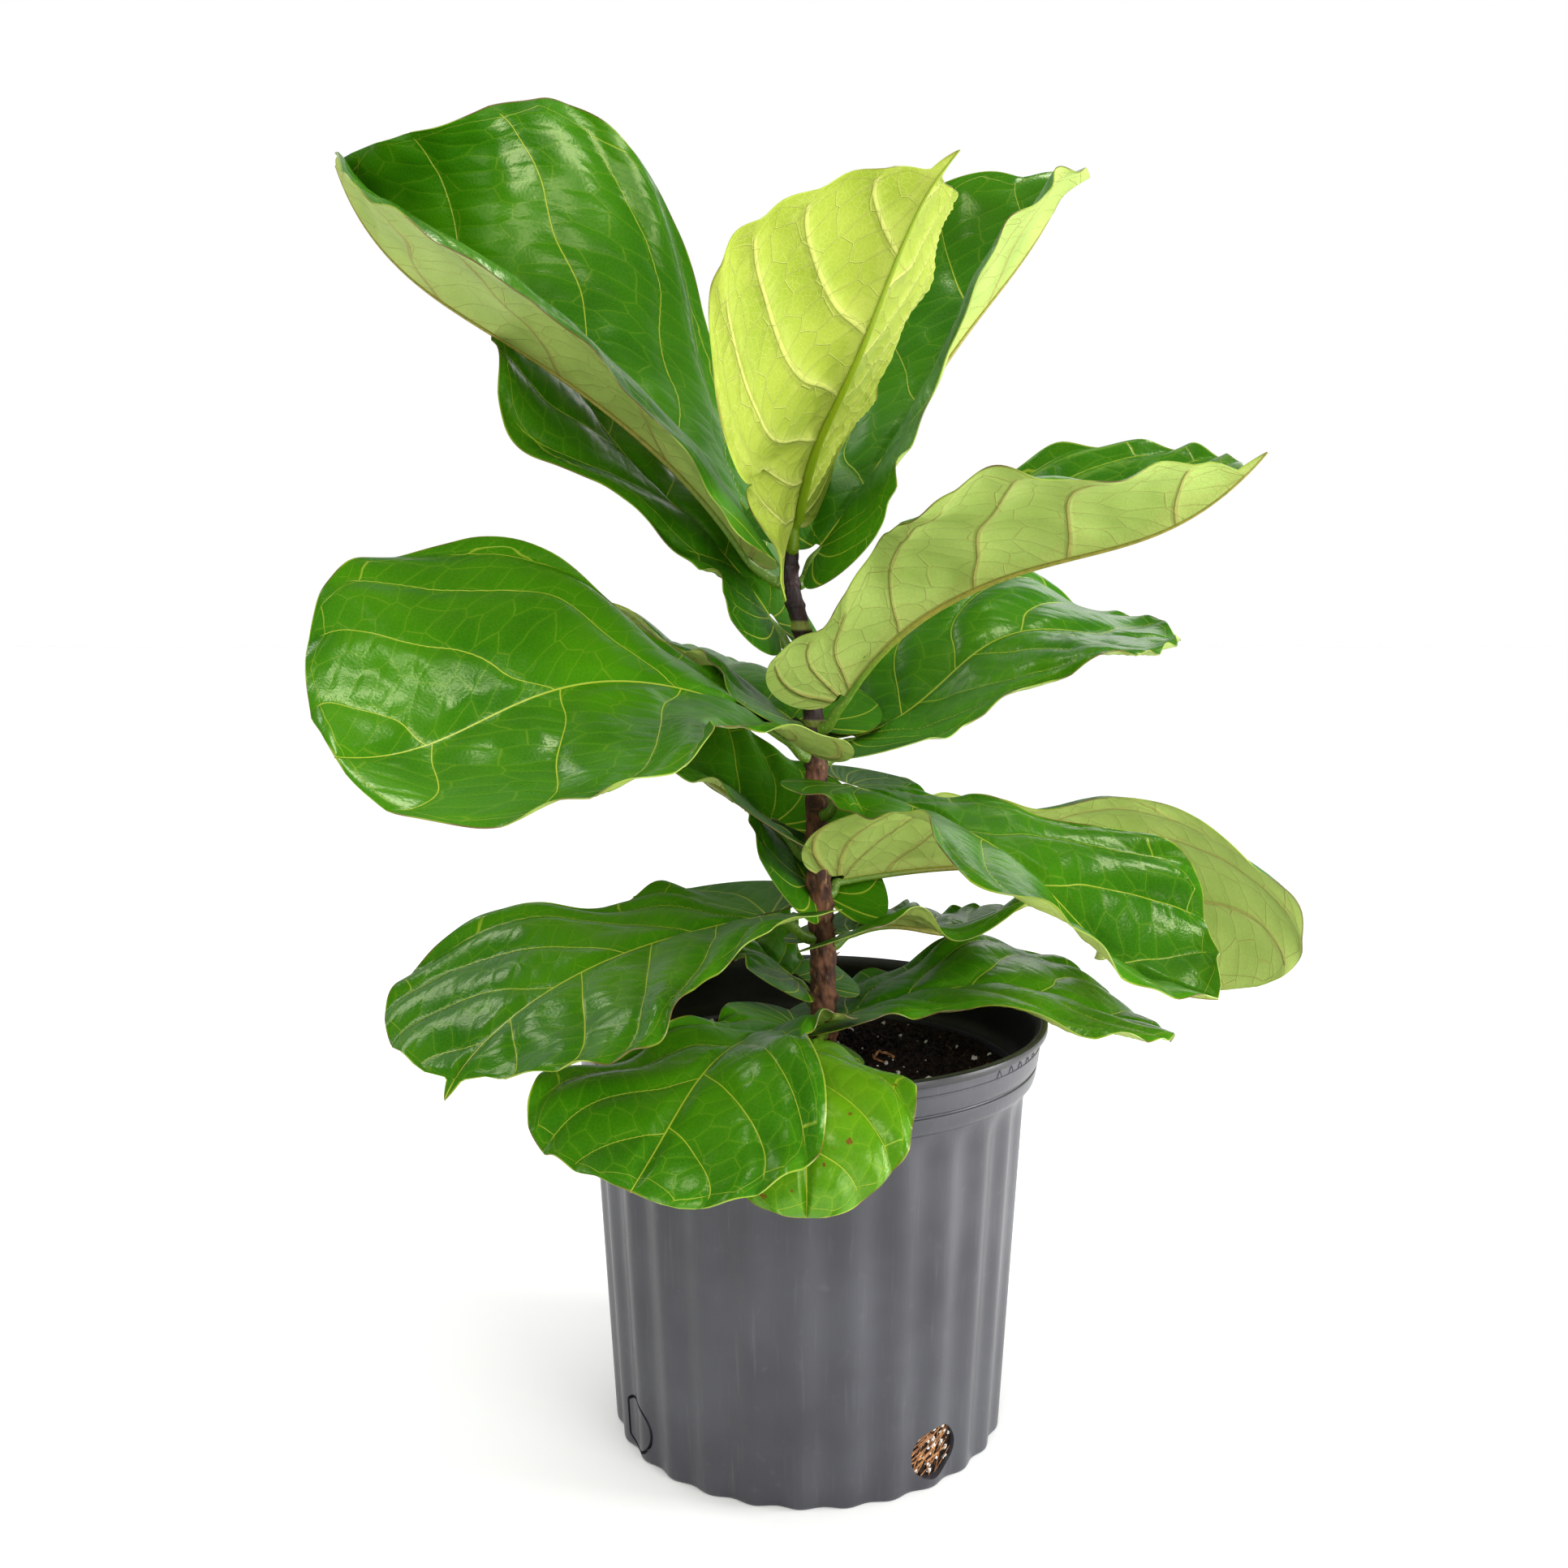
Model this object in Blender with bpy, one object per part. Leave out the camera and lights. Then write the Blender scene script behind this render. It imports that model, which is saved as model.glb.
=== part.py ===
"""A young fiddle leaf fig standing in its black nursery pot.

Metres, +Z up. The origin is the centre of the flat underside of the pot. A heading is an angle in
degrees from +X towards +Y, so a heading of -90 points to the front. The pot, the potting mix, the
stem and every leaf with its stalk are separate closed bodies.
"""
from dataclasses import dataclass

import bmesh
import bpy
import numpy as np

MM = 0.001
GAP = 0.0004

# Pot: ridge radii of the fluted body, the collar and the rolled rim
POT_HEIGHT = 0.241
RIM_RADIUS = 0.1375
BODY_TOP_Z = 0.205
BODY_TOP_RADIUS = 0.1254
BASE_RADIUS = 0.1142
BASE_CHAMFER = 0.0012
FLUTES = 28
RIDGE_HEADING = -93.0
FLUTE_DEPTH = 0.0026
SAMPLES_PER_FLUTE = 4
COLLAR_PROFILE = ((0.1285, 0.2082), (0.1312, 0.2120), (0.1318, 0.2172), (0.1311, 0.2188),
                  (0.1325, 0.2200), (0.1340, 0.2355), (RIM_RADIUS, 0.2368), (RIM_RADIUS, 0.2398),
                  (0.1362, POT_HEIGHT), (0.1342, POT_HEIGHT), (0.1320, 0.2392))
INSIDE_LIP_PROFILE = ((0.1295, 0.2262), (0.1278, 0.2150), (0.1232, 0.2085))
FLOOR = 0.003
INNER_BASE_RADIUS = 0.1094
INNER_TOP_RADIUS = 0.1216
INNER_TOP_Z = 0.203
DRAIN_HEADING = -53.5
DRAIN_Z = 0.0207
DRAIN_RADIUS = 0.0152
DRAIN_SIDES = 24
DRAIN_CUT = (0.100, 0.125)

# Potting mix: level at the wall, rise to the stem and size of the lumps
MIX_EDGE_Z = 0.2045
MIX_RISE = 0.0125
MIX_LUMP = 0.0012
MIX_SIDES = 60
MIX_CLEARANCE = 0.0003
MIX_RING_RADII = (0.104, 0.086, 0.068, 0.050, 0.034, 0.021, 0.013)
MIX_SHOULDER = 0.004
MIX_MOUTH_REACH = 0.05

# Stem: where its centre line stands at each height, and its radius at the foot and at the top
STEM_FOOT_Z = 0.172
STEM_Z = (0.170, 0.220, 0.274, 0.330, 0.410, 0.460, 0.490, 0.520)
STEM_X = (0.0090, 0.0088, 0.0080, 0.0050, 0.0025, -0.0040, -0.0110, -0.0095)
STEM_FOOT_RADIUS = 0.0066
STEM_TOP_RADIUS = 0.0042
STEM_RADIUS_SPAN = (0.22, 0.50)
STEM_RINGS = 30
STEM_SIDES = 12
BUD_Z = (0.503, 0.509, 0.515, 0.522)
BUD_WIDTH = (1.0, 0.85, 0.55, 0.12)

# Leaf blade: its thickness, the midrib ridge below it and the stalk
BLADE_HALF_THICKNESS = 0.0004
MIDRIB_DEPTH = 0.0014
STALK_FOOT_RADIUS = 0.0029
STALK_RADIUS = 0.0024
STALK_START_RISE = 15.0
STALK_BEND = 0.35
SINUS_HALF_WIDTH = 0.0036
SINUS_COLUMN = 0.06
LOBE_REACH = 0.30
WAIST_STATION = 0.24
WAVES = 2.6
POINT_HALF_WIDTH = 0.09
HOOK_STATION = 0.85
STATION_KNOTS = (0.0, 0.35, 0.7, 1.0)
ROLL_KNOTS = (0.0, 0.5, 1.0)
BLADE_ROWS = 13
BLADE_COLUMNS = (-1.0, -0.7, -0.4, -SINUS_COLUMN, 0.0, SINUS_COLUMN, 0.4, 0.7, 1.0)
STALK_RING_ANGLES = np.radians((150.0, 90.0, 30.0, -30.0, -90.0, -150.0))
STALK_RINGS = (0.0, 0.22, 0.45, 0.68, 0.86)
STALK_FOOT_STRETCH = 1.15
STALK_STEPS = 13
MIDRIB_STEPS = 241


@dataclass(frozen=True)
class Leaf:
    """One leaf: lengths in millimetres, angles in degrees, left and right as seen from its stalk.

    The turn swings the heading from foot to tip, and the hook only its last part. The point is the
    length of a narrow tip.
    """

    height: float
    heading: float
    stalk: float
    stalk_rise: float
    rise: tuple
    roll: tuple
    left_fold: tuple
    right_fold: tuple
    curl: tuple
    length: float
    half_width: float
    widest: float
    waist: float
    lobes: tuple
    wave: tuple
    wave_start: tuple
    turn: float = 0.0
    point: float = 0.0
    hook: float = 0.0
    skin: str = "leaf"


# The leaves from the top of the plant downwards
LEAVES = {
    "leaf_01": Leaf(
        height=488, heading=167, turn=8, stalk=25, stalk_rise=32,
        rise=(55, 37, 34, 72), roll=(0, -8, -30), curl=(-42, -30),
        left_fold=(31, 54), right_fold=(8, 108),
        length=331, half_width=141, widest=0.50, waist=0.77, lobes=(21, 21),
        wave=(0.0, 2.5), wave_start=(0.89, 0.77)),
    "leaf_02": Leaf(
        height=448, heading=154, turn=-7, stalk=30, stalk_rise=59,
        rise=(54, 39, 48, 26), roll=(0, -6, 10), curl=(-37, -28),
        left_fold=(6, 15), right_fold=(13, 22),
        length=243, half_width=73, widest=0.68, waist=0.43, lobes=(27, 37),
        wave=(6.5, 10.5), wave_start=(0.12, 0.55)),
    "leaf_03": Leaf(
        height=507, heading=-79, turn=26, stalk=21, stalk_rise=93,
        rise=(45, 27, 48, 44), roll=(48, 8, -32), curl=(31, -33),
        left_fold=(0, 50), right_fold=(-17, 16),
        length=242, half_width=86, widest=0.63, waist=0.62, lobes=(24, 10),
        wave=(3.5, 11.0), wave_start=(0.17, 0.61), point=13, hook=25, skin="young_leaf"),
    "leaf_04": Leaf(
        height=487, heading=39, turn=-7, stalk=29, stalk_rise=68,
        rise=(45, 51, 46, 62), roll=(5, -3, 30), curl=(-3, -14),
        left_fold=(28, 28), right_fold=(17, 63),
        length=303, half_width=82, widest=0.66, waist=0.52, lobes=(12, 38),
        wave=(8.0, 3.0), wave_start=(0.0, 0.9)),
    "leaf_05": Leaf(
        height=406, heading=-43, turn=-3, stalk=27, stalk_rise=56,
        rise=(52, 22, 13, 47), roll=(21, 17, 0), curl=(-17, -41),
        left_fold=(47, 35), right_fold=(75, 42),
        length=282, half_width=86, widest=0.50, waist=0.43, lobes=(18, 21),
        wave=(0.0, 8.0), wave_start=(0.42, 0.54), point=14, hook=3),
    "leaf_06": Leaf(
        height=387, heading=32, turn=-37, stalk=26, stalk_rise=46,
        rise=(12, 38, -6, -3), roll=(-6, 13, 1), curl=(-9, 13),
        left_fold=(25, 11), right_fold=(-6, -1),
        length=227, half_width=92, widest=0.68, waist=0.67, lobes=(26, 38),
        wave=(7.0, 4.0), wave_start=(0.61, 0.61)),
    "leaf_07": Leaf(
        height=390, heading=-149, turn=24, stalk=23, stalk_rise=49,
        rise=(34, 6, -19, 10), roll=(6, -26, -33), curl=(55, -7),
        left_fold=(-18, -5), right_fold=(25, 13),
        length=278, half_width=119, widest=0.50, waist=0.43, lobes=(19, 39),
        wave=(4.5, 6.5), wave_start=(0.2, 0.3)),
    "leaf_08": Leaf(
        height=400, heading=130, turn=2, stalk=19, stalk_rise=43,
        rise=(22, 13, 4, -5), roll=(-5, 15, -1), curl=(-17, -22),
        left_fold=(31, 12), right_fold=(20, 12),
        length=228, half_width=75, widest=0.66, waist=0.58, lobes=(39, 38),
        wave=(6.0, 2.0), wave_start=(0.89, 0.59)),
    "leaf_09": Leaf(
        height=331, heading=152, turn=-1, stalk=33, stalk_rise=52,
        rise=(29, 24, 10, -10), roll=(-3, -8, 2), curl=(-18, -15),
        left_fold=(29, 29), right_fold=(30, 15),
        length=220, half_width=82, widest=0.66, waist=0.57, lobes=(40, 38),
        wave=(6.0, 6.0), wave_start=(0.16, 0.5)),
    "leaf_10": Leaf(
        height=309, heading=121, turn=-5, stalk=13, stalk_rise=46,
        rise=(38, 21, 5, -12), roll=(4, 12, -5), curl=(-15, -20),
        left_fold=(31, 17), right_fold=(21, 16),
        length=179, half_width=71, widest=0.66, waist=0.52, lobes=(43, 44),
        wave=(4.5, 5.5), wave_start=(0.81, 0.49)),
    "leaf_11": Leaf(
        height=357, heading=-51, turn=15, stalk=37, stalk_rise=66,
        rise=(-5, -15, -37, 8), roll=(-6, -9, -4), curl=(13, 0),
        left_fold=(4, 35), right_fold=(-6, 19),
        length=245, half_width=72, widest=0.56, waist=0.43, lobes=(57, 33),
        wave=(6.0, 6.0), wave_start=(0.51, 0.34)),
    "leaf_12": Leaf(
        height=310, heading=25, turn=-45, stalk=13, stalk_rise=74,
        rise=(5, -4, -24, -83), roll=(11, -7, -37), curl=(-22, -44),
        left_fold=(35, 6), right_fold=(71, 34),
        length=268, half_width=99, widest=0.80, waist=0.59, lobes=(10, 34),
        wave=(19.5, 4.5), wave_start=(0.65, 0.77)),
    "leaf_13": Leaf(
        height=280, heading=15, turn=25, stalk=15, stalk_rise=45,
        rise=(17, -16, 15, 7), roll=(-2, 6, -15), curl=(-19, -17),
        left_fold=(8, 1), right_fold=(19, 39),
        length=127, half_width=68, widest=0.65, waist=0.54, lobes=(37, 40),
        wave=(5.0, 8.0), wave_start=(0.95, 0.82)),
    "leaf_14": Leaf(
        height=233, heading=9, turn=-4, stalk=12, stalk_rise=42,
        rise=(17, 4, -24, -10), roll=(-10, 9, 2), curl=(-25, -14),
        left_fold=(17, 10), right_fold=(8, 19),
        length=196, half_width=79, widest=0.67, waist=0.65, lobes=(35, 35),
        wave=(5.5, 3.0), wave_start=(0.22, 0.21)),
    "leaf_15": Leaf(
        height=285, heading=-146, turn=24, stalk=42, stalk_rise=46,
        rise=(-2, -8, -21, -39), roll=(10, -2, 10), curl=(10, 0),
        left_fold=(-1, -8), right_fold=(14, 6),
        length=220, half_width=89, widest=0.66, waist=0.68, lobes=(19, 59),
        wave=(4.0, 5.0), wave_start=(0.87, 0.98), point=12, hook=13),
    "leaf_16": Leaf(
        height=236, heading=-114, turn=7, stalk=44, stalk_rise=12,
        rise=(11, 2, -20, -14), roll=(-3, 6, -10), curl=(-15, -1),
        left_fold=(20, -3), right_fold=(10, 4),
        length=200, half_width=72, widest=0.69, waist=0.43, lobes=(16, 42),
        wave=(7.0, 7.0), wave_start=(0.0, 0.39)),
    "leaf_17": Leaf(
        height=229, heading=-96, turn=10, stalk=42, stalk_rise=13,
        rise=(13, 11, -36, -98), roll=(-7, 2, 3), curl=(-20, -10),
        left_fold=(-14, 5), right_fold=(-9, -1),
        length=182, half_width=54, widest=0.63, waist=0.25, lobes=(35, 40),
        wave=(3.5, 3.0), wave_start=(0.55, 0.66), skin="old_leaf"),
    "leaf_18": Leaf(
        height=243, heading=129, turn=-1, stalk=28, stalk_rise=43,
        rise=(16, 21, 5, -10), roll=(5, 5, 0), curl=(-18, -23),
        left_fold=(18, 14), right_fold=(12, 16),
        length=117, half_width=56, widest=0.66, waist=0.52, lobes=(40, 37),
        wave=(6.5, 11.0), wave_start=(0.16, 0.34)),
}


def smooth(t):
    """Rise from 0 to 1 with level ends."""
    t = np.clip(t, 0.0, 1.0)
    return t * t * (3.0 - 2.0 * t)


def through(s, knots, values):
    """A smooth curve through the values at the knots."""
    knots = np.asarray(knots, float)
    values = np.asarray(values, float)
    slopes = np.gradient(values, knots)
    i = np.clip(np.searchsorted(knots, s, side="right") - 1, 0, len(knots) - 2)
    span = knots[i + 1] - knots[i]
    t = (s - knots[i]) / span
    return ((2 * t**3 - 3 * t**2 + 1) * values[i] + (t**3 - 2 * t**2 + t) * span * slopes[i]
            + (3 * t**2 - 2 * t**3) * values[i + 1] + (t**3 - t**2) * span * slopes[i + 1])


def stem_x(z):
    """The stem's centre line: x at each height."""
    return through(np.clip(z, STEM_Z[0], STEM_Z[-1]), STEM_Z, STEM_X)


def stem_radius(z):
    """The stem's radius at each height, thinner towards the top."""
    return np.interp(z, STEM_RADIUS_SPAN, (STEM_FOOT_RADIUS, STEM_TOP_RADIUS))


def direction(rise, heading):
    """Unit vectors that climb at rise and point along heading, both in radians."""
    return np.stack([np.cos(rise) * np.cos(heading), np.cos(rise) * np.sin(heading), np.sin(rise)], -1)


def walk(start, steps, length):
    """Points along a path: the start plus the running sum of the directions."""
    middle = (steps[1:] + steps[:-1]) / 2.0 * (length / (len(steps) - 1))
    return start + np.concatenate([np.zeros((1, 3)), np.cumsum(middle, 0)])


def stalk_path(leaf):
    """The stalk's centre line from the stem's bark to the blade, with its directions."""
    q = np.linspace(0.0, 1.0, STALK_STEPS)
    heading = np.radians(leaf.heading)
    bend = STALK_START_RISE + (leaf.stalk_rise - STALK_START_RISE) * smooth(q / STALK_BEND)
    settle = leaf.stalk_rise + (leaf.rise[0] - leaf.stalk_rise) * smooth((q - STALK_BEND) / (1 - STALK_BEND))
    steps = direction(np.radians(np.where(q < STALK_BEND, bend, settle)), heading)
    z = leaf.height * MM
    foot = np.array([stem_x(z), 0.0, z]) + (stem_radius(z) + GAP) * direction(0.0, heading)
    return q, walk(foot, steps, leaf.stalk * MM), steps


def blade_frames(leaf):
    """Midrib points with their forward, left and upward directions."""
    s = np.linspace(0.0, 1.0, MIDRIB_STEPS)
    rise = np.radians(through(s, STATION_KNOTS, leaf.rise))
    hook = leaf.hook * smooth((s - HOOK_STATION) / (1.0 - HOOK_STATION))
    heading = np.radians(leaf.heading + leaf.turn * s**1.5 + hook)
    forward = direction(rise, heading)
    points = walk(stalk_path(leaf)[1][-1], forward, leaf.length * MM)
    left = np.stack([-np.sin(heading), np.cos(heading), np.zeros(MIDRIB_STEPS)], -1)
    up = np.cross(forward, left)
    roll = np.radians(through(s, ROLL_KNOTS, leaf.roll))[:, None]
    return (s, points, forward, left * np.cos(roll) + up * np.sin(roll),
            up * np.cos(roll) - left * np.sin(roll))


def outline_half_width(s, leaf):
    """The fiddle outline: lobes, a waist, the broad shoulder and a round or pointed tip, as a part of 1."""
    lobe = max(leaf.waist + 0.12, 0.55)
    point = leaf.point / leaf.length
    tip = np.sqrt(1.0 - np.clip((s - leaf.widest) / (1.0 - point - leaf.widest), 0.0, 1.0)**2.3)
    if point:
        reach = np.clip((s - 1.0 + 2.0 * point) / (2.0 * point), 0.0, 1.0)
        tip = np.maximum(tip, POINT_HALF_WIDTH * np.sqrt(1.0 - reach**2))
    shoulder = leaf.waist + (1.0 - leaf.waist) * smooth((s - WAIST_STATION) / (leaf.widest - WAIST_STATION))
    base = leaf.waist + (lobe - leaf.waist) * np.clip(1.0 - s / WAIST_STATION, 0.0, 1.0)**1.6
    return np.where(s > leaf.widest, tip, np.where(s > WAIST_STATION, shoulder, base))


def blade_points(leaf, rows, columns):
    """Mid-surface points: each row is a cross line of the blade, folded and curled about the midrib."""
    s, points, forward, left, up = blade_frames(leaf)
    length = leaf.length * MM
    width = leaf.half_width * MM
    station = np.asarray(rows)[:, None]
    across = np.abs(np.asarray(columns))[None, :]
    side = np.sign(np.asarray(columns))[None, :]
    is_left = side > 0

    def pick(pair):
        return np.where(is_left, pair[0], pair[1])

    half = outline_half_width(station, leaf)
    lobe = np.clip(1.0 - station / LOBE_REACH, 0.0, 1.0)**1.7
    beyond = np.clip((across - SINUS_COLUMN) / (1.0 - SINUS_COLUMN), 0.0, 1.0)**0.9
    sinus = SINUS_HALF_WIDTH / width
    swing = (1.0 - np.cos(np.pi * beyond)) / 2.0
    ear = sinus * np.minimum(across / SINUS_COLUMN, 1.0) + (half - sinus) * swing
    out = half * across * (1.0 - lobe) + lobe * ear
    along = station - lobe * pick(leaf.lobes) * MM / length * np.sin(np.pi * beyond)**0.9
    base = np.clip(along, 0.0, 1.0)

    def at(values):
        return np.stack([np.interp(base, s, values[:, k]) for k in range(3)], -1)

    spine = at(points) + at(forward) * (np.minimum(along, 0.0) * length)[..., None]
    fold_start = pick((leaf.left_fold[0], leaf.right_fold[0]))
    fold_end = pick((leaf.left_fold[1], leaf.right_fold[1]))
    fold = np.radians(fold_start + (fold_end - fold_start) * smooth(base))
    curl = np.radians(pick(tuple(c if abs(c) > 0.5 else 0.5 for c in leaf.curl)))
    sideways = width * (np.sin(fold + curl * out) - np.sin(fold)) / curl
    upward = width * (np.cos(fold) - np.cos(fold + curl * out)) / curl
    phase = 2.0 * np.pi * (WAVES * base + pick(leaf.wave_start))
    upward = upward + pick(leaf.wave) * MM * across**2 * np.sin(phase) * smooth(base / 0.15)
    return spine + at(left) * (side * sideways)[..., None] + at(up) * upward[..., None]


def leaf_body(leaf):
    """Vertices and faces of one leaf: two sheets split alike, closed round the edge, and the stalk."""
    rows = 1.0 - (1.0 - np.linspace(0.0, 1.0, BLADE_ROWS))**1.25
    grid = blade_points(leaf, rows, BLADE_COLUMNS)
    normal = np.cross(np.gradient(grid, axis=0), np.gradient(grid, axis=1))
    normal[-1] = normal[-2].mean(0)
    normal = normal / np.linalg.norm(normal, axis=-1, keepdims=True)
    columns = len(BLADE_COLUMNS)
    middle = columns // 2
    depth = np.full(grid.shape[:2], BLADE_HALF_THICKNESS)
    depth[:, middle] += MIDRIB_DEPTH * (1.0 - 0.8 * rows)
    top = grid + normal * BLADE_HALF_THICKNESS
    bottom = grid - normal * depth[..., None]
    body_rows = BLADE_ROWS - 1
    sheet = body_rows * columns
    verts = [top[:-1].reshape(-1, 3), bottom[:-1].reshape(-1, 3), top[-1:, middle], bottom[-1:, middle]]
    top_tip = 2 * sheet
    bottom_tip = top_tip + 1
    faces = []

    def t(i, j):
        return i * columns + j if i < body_rows else top_tip

    def b(i, j):
        return sheet + i * columns + j if i < body_rows else bottom_tip

    def add(*corners):
        kept = list(dict.fromkeys(corners))
        if len(kept) >= 3:
            faces.append(kept[:3])
        if len(kept) == 4:
            faces.append([kept[0], kept[2], kept[3]])

    for i in range(body_rows):
        for j in range(columns - 1):
            add(t(i, j), t(i + 1, j), t(i + 1, j + 1), t(i, j + 1))
            corners = list(dict.fromkeys((b(i, j), b(i + 1, j), b(i + 1, j + 1), b(i, j + 1))))
            faces.append([corners[0], corners[2], corners[1]])
            if len(corners) == 4:
                faces.append([corners[0], corners[3], corners[2]])
        last = columns - 1
        add(t(i, last), t(i + 1, last), b(i + 1, last), b(i, last))
        add(t(i, 0), b(i, 0), b(i + 1, 0), t(i + 1, 0))
    for j in range(columns - 1):
        if j not in (middle - 1, middle):
            add(t(0, j), t(0, j + 1), b(0, j + 1), b(0, j))

    q, path, steps = stalk_path(leaf)
    heading = np.radians(leaf.heading)
    left = np.array([-np.sin(heading), np.cos(heading), 0.0])
    first_ring = bottom_tip + 1
    for k, station in enumerate(STALK_RINGS):
        centre = np.array([np.interp(station, q, path[:, c]) for c in range(3)])
        ahead = np.array([np.interp(station, q, steps[:, c]) for c in range(3)])
        ahead = ahead / np.linalg.norm(ahead)
        roll = np.radians(leaf.roll[0]) * station
        upright = np.cross(ahead, left)
        across = left * np.cos(roll) + upright * np.sin(roll)
        above = upright * np.cos(roll) - left * np.sin(roll)
        radius = STALK_FOOT_RADIUS + (STALK_RADIUS - STALK_FOOT_RADIUS) * smooth(station / 0.5)
        if k == 0:
            sideways = radius * np.cos(STALK_RING_ANGLES)
            z = centre[2] + radius * STALK_FOOT_STRETCH * np.sin(STALK_RING_ANGLES)
            bark = stem_radius(z) + GAP
            out = np.sqrt(bark**2 - sideways**2)
            ring = (np.stack([stem_x(z), np.zeros(6), z], -1) + out[:, None] * direction(0.0, heading)
                    + sideways[:, None] * left)
        else:
            ring = centre + radius * (np.cos(STALK_RING_ANGLES)[:, None] * across
                                      + np.sin(STALK_RING_ANGLES)[:, None] * above)
        verts.append(ring)
    rings = [[first_ring + 6 * k + m for m in range(6)] for k in range(len(STALK_RINGS))]
    rings.append([t(0, middle - 1), t(0, middle), t(0, middle + 1),
                  b(0, middle + 1), b(0, middle), b(0, middle - 1)])
    for near, far in zip(rings[:-1], rings[1:]):
        for m in range(6):
            n = (m + 1) % 6
            add(near[m], far[m], far[n], near[n])
    foot = rings[0]
    for m in (2, 3, 4, 5):
        faces.append([foot[1], foot[m], foot[(m + 1) % 6]])
    return np.concatenate(verts), faces


def add_object(name, verts, faces, material):
    """A named mesh object at the origin with its material."""
    mesh = bpy.data.meshes.new(name)
    mesh.from_pydata([tuple(float(c) for c in v) for v in verts], [], faces)
    mesh.materials.append(material)
    mesh.update()
    part = bpy.data.objects.new(name, mesh)
    bpy.context.scene.collection.objects.link(part)
    return part


def add_material(name, colour, roughness):
    """A plain Principled material."""
    material = bpy.data.materials.new(name)
    material.use_nodes = True
    shader = material.node_tree.nodes["Principled BSDF"]
    shader.inputs["Base Color"].default_value = (*colour, 1.0)
    shader.inputs["Roughness"].default_value = roughness
    shader.inputs["Metallic"].default_value = 0.0
    return material


def lathe(rings, close_top, close_bottom):
    """Vertices and faces through a stack of rings of equal count, each closed end a fan of faces."""
    count = len(rings[0])
    verts = np.concatenate(rings)
    faces = []
    for k in range(len(rings) - 1):
        for m in range(count):
            n = (m + 1) % count
            faces.append([k * count + m, k * count + n, (k + 1) * count + n, (k + 1) * count + m])
    extra = []
    for closed, ring, flip in ((close_bottom, 0, True), (close_top, len(rings) - 1, False)):
        if not closed:
            continue
        centre = len(verts) + len(extra)
        extra.append(rings[ring].mean(0))
        for m in range(count):
            pair = [ring * count + m, ring * count + (m + 1) % count]
            faces.append([*(pair[::-1] if flip else pair), centre])
    if extra:
        verts = np.concatenate([verts, np.array(extra)])
    return verts, faces


def ring_at(radius, z, angles):
    """A ring round the pot's axis: radius and height may vary with the angle."""
    radius = np.broadcast_to(radius, angles.shape)
    return np.stack([radius * np.cos(angles), radius * np.sin(angles), np.broadcast_to(z, angles.shape)], -1)


def inner_radius(z):
    """The radius of the pot's inside at a height on its straight stretch."""
    return np.interp(z, (FLOOR, INNER_TOP_Z), (INNER_BASE_RADIUS, INNER_TOP_RADIUS))


def build_pot(material):
    """The pot: a body of shallow rounded flutes, a plain collar, a rolled rim and a drain hole."""
    angles = np.radians(RIDGE_HEADING) + np.arange(FLUTES * SAMPLES_PER_FLUTE) * (
        2.0 * np.pi / (FLUTES * SAMPLES_PER_FLUTE))
    part_way = (np.arange(len(angles)) % SAMPLES_PER_FLUTE) / SAMPLES_PER_FLUTE
    hollow = FLUTE_DEPTH * (1.0 - np.cos(2.0 * np.pi * part_way)) / 2.0
    body_top = BODY_TOP_RADIUS - hollow
    body_base = BASE_RADIUS - hollow
    outside = [ring_at(body_base - BASE_CHAMFER, 0.0, angles),
               ring_at(body_base, BASE_CHAMFER, angles),
               ring_at(body_base + (body_top - body_base) * 0.5, BODY_TOP_Z * 0.5, angles),
               ring_at(body_top, BODY_TOP_Z, angles)]
    inside = INSIDE_LIP_PROFILE + ((INNER_TOP_RADIUS, INNER_TOP_Z), (INNER_BASE_RADIUS, FLOOR))
    rings = outside + [ring_at(r, z, angles) for r, z in COLLAR_PROFILE + inside]
    verts, faces = lathe(rings, close_top=True, close_bottom=True)
    pot = add_object("pot", verts, faces, material)
    cut_drain_hole(pot)
    return pot


def cut_drain_hole(pot):
    """One round hole low in the wall, cut straight in towards the pot's axis."""
    heading = np.radians(DRAIN_HEADING)
    turn = np.arange(DRAIN_SIDES) * (2.0 * np.pi / DRAIN_SIDES)
    inward = np.array([-np.cos(heading), -np.sin(heading), 0.0])
    left = np.array([-np.sin(heading), np.cos(heading), 0.0])
    circle = DRAIN_RADIUS * (np.cos(turn)[:, None] * left + np.sin(turn)[:, None] * np.array([0.0, 0.0, 1.0]))
    centre = np.array([0.0, 0.0, DRAIN_Z])
    rings = [centre - inward * reach + circle for reach in DRAIN_CUT]
    verts, faces = lathe(rings, close_top=True, close_bottom=True)
    cutter = add_object("drain_cutter", verts, faces, pot.data.materials[0])
    recalculate(cutter.data)
    cutter.hide_render = True
    cutter.display_type = "WIRE"
    cut = pot.modifiers.new("drain hole", "BOOLEAN")
    cut.object = cutter
    cut.operation = "DIFFERENCE"
    cut.solver = "EXACT"


def recalculate(mesh):
    """Turn all faces of a closed mesh outwards."""
    work = bmesh.new()
    work.from_mesh(mesh)
    bmesh.ops.recalc_face_normals(work, faces=work.faces)
    work.to_mesh(mesh)
    work.free()


def mix_height(radius, angles):
    """The potting mix's surface: a low mound with lumps made of a few crossing waves."""
    mound = MIX_RISE * np.clip(1.0 - (radius / 0.121)**2, 0.0, 1.0)**1.5
    lumps = (np.sin(5 * angles + 90 * radius) + np.sin(9 * angles - 150 * radius + 1.3)
             + np.sin(14 * angles + 260 * radius + 0.4)) / 3.0
    return MIX_EDGE_Z + mound + MIX_LUMP * lumps


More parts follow.
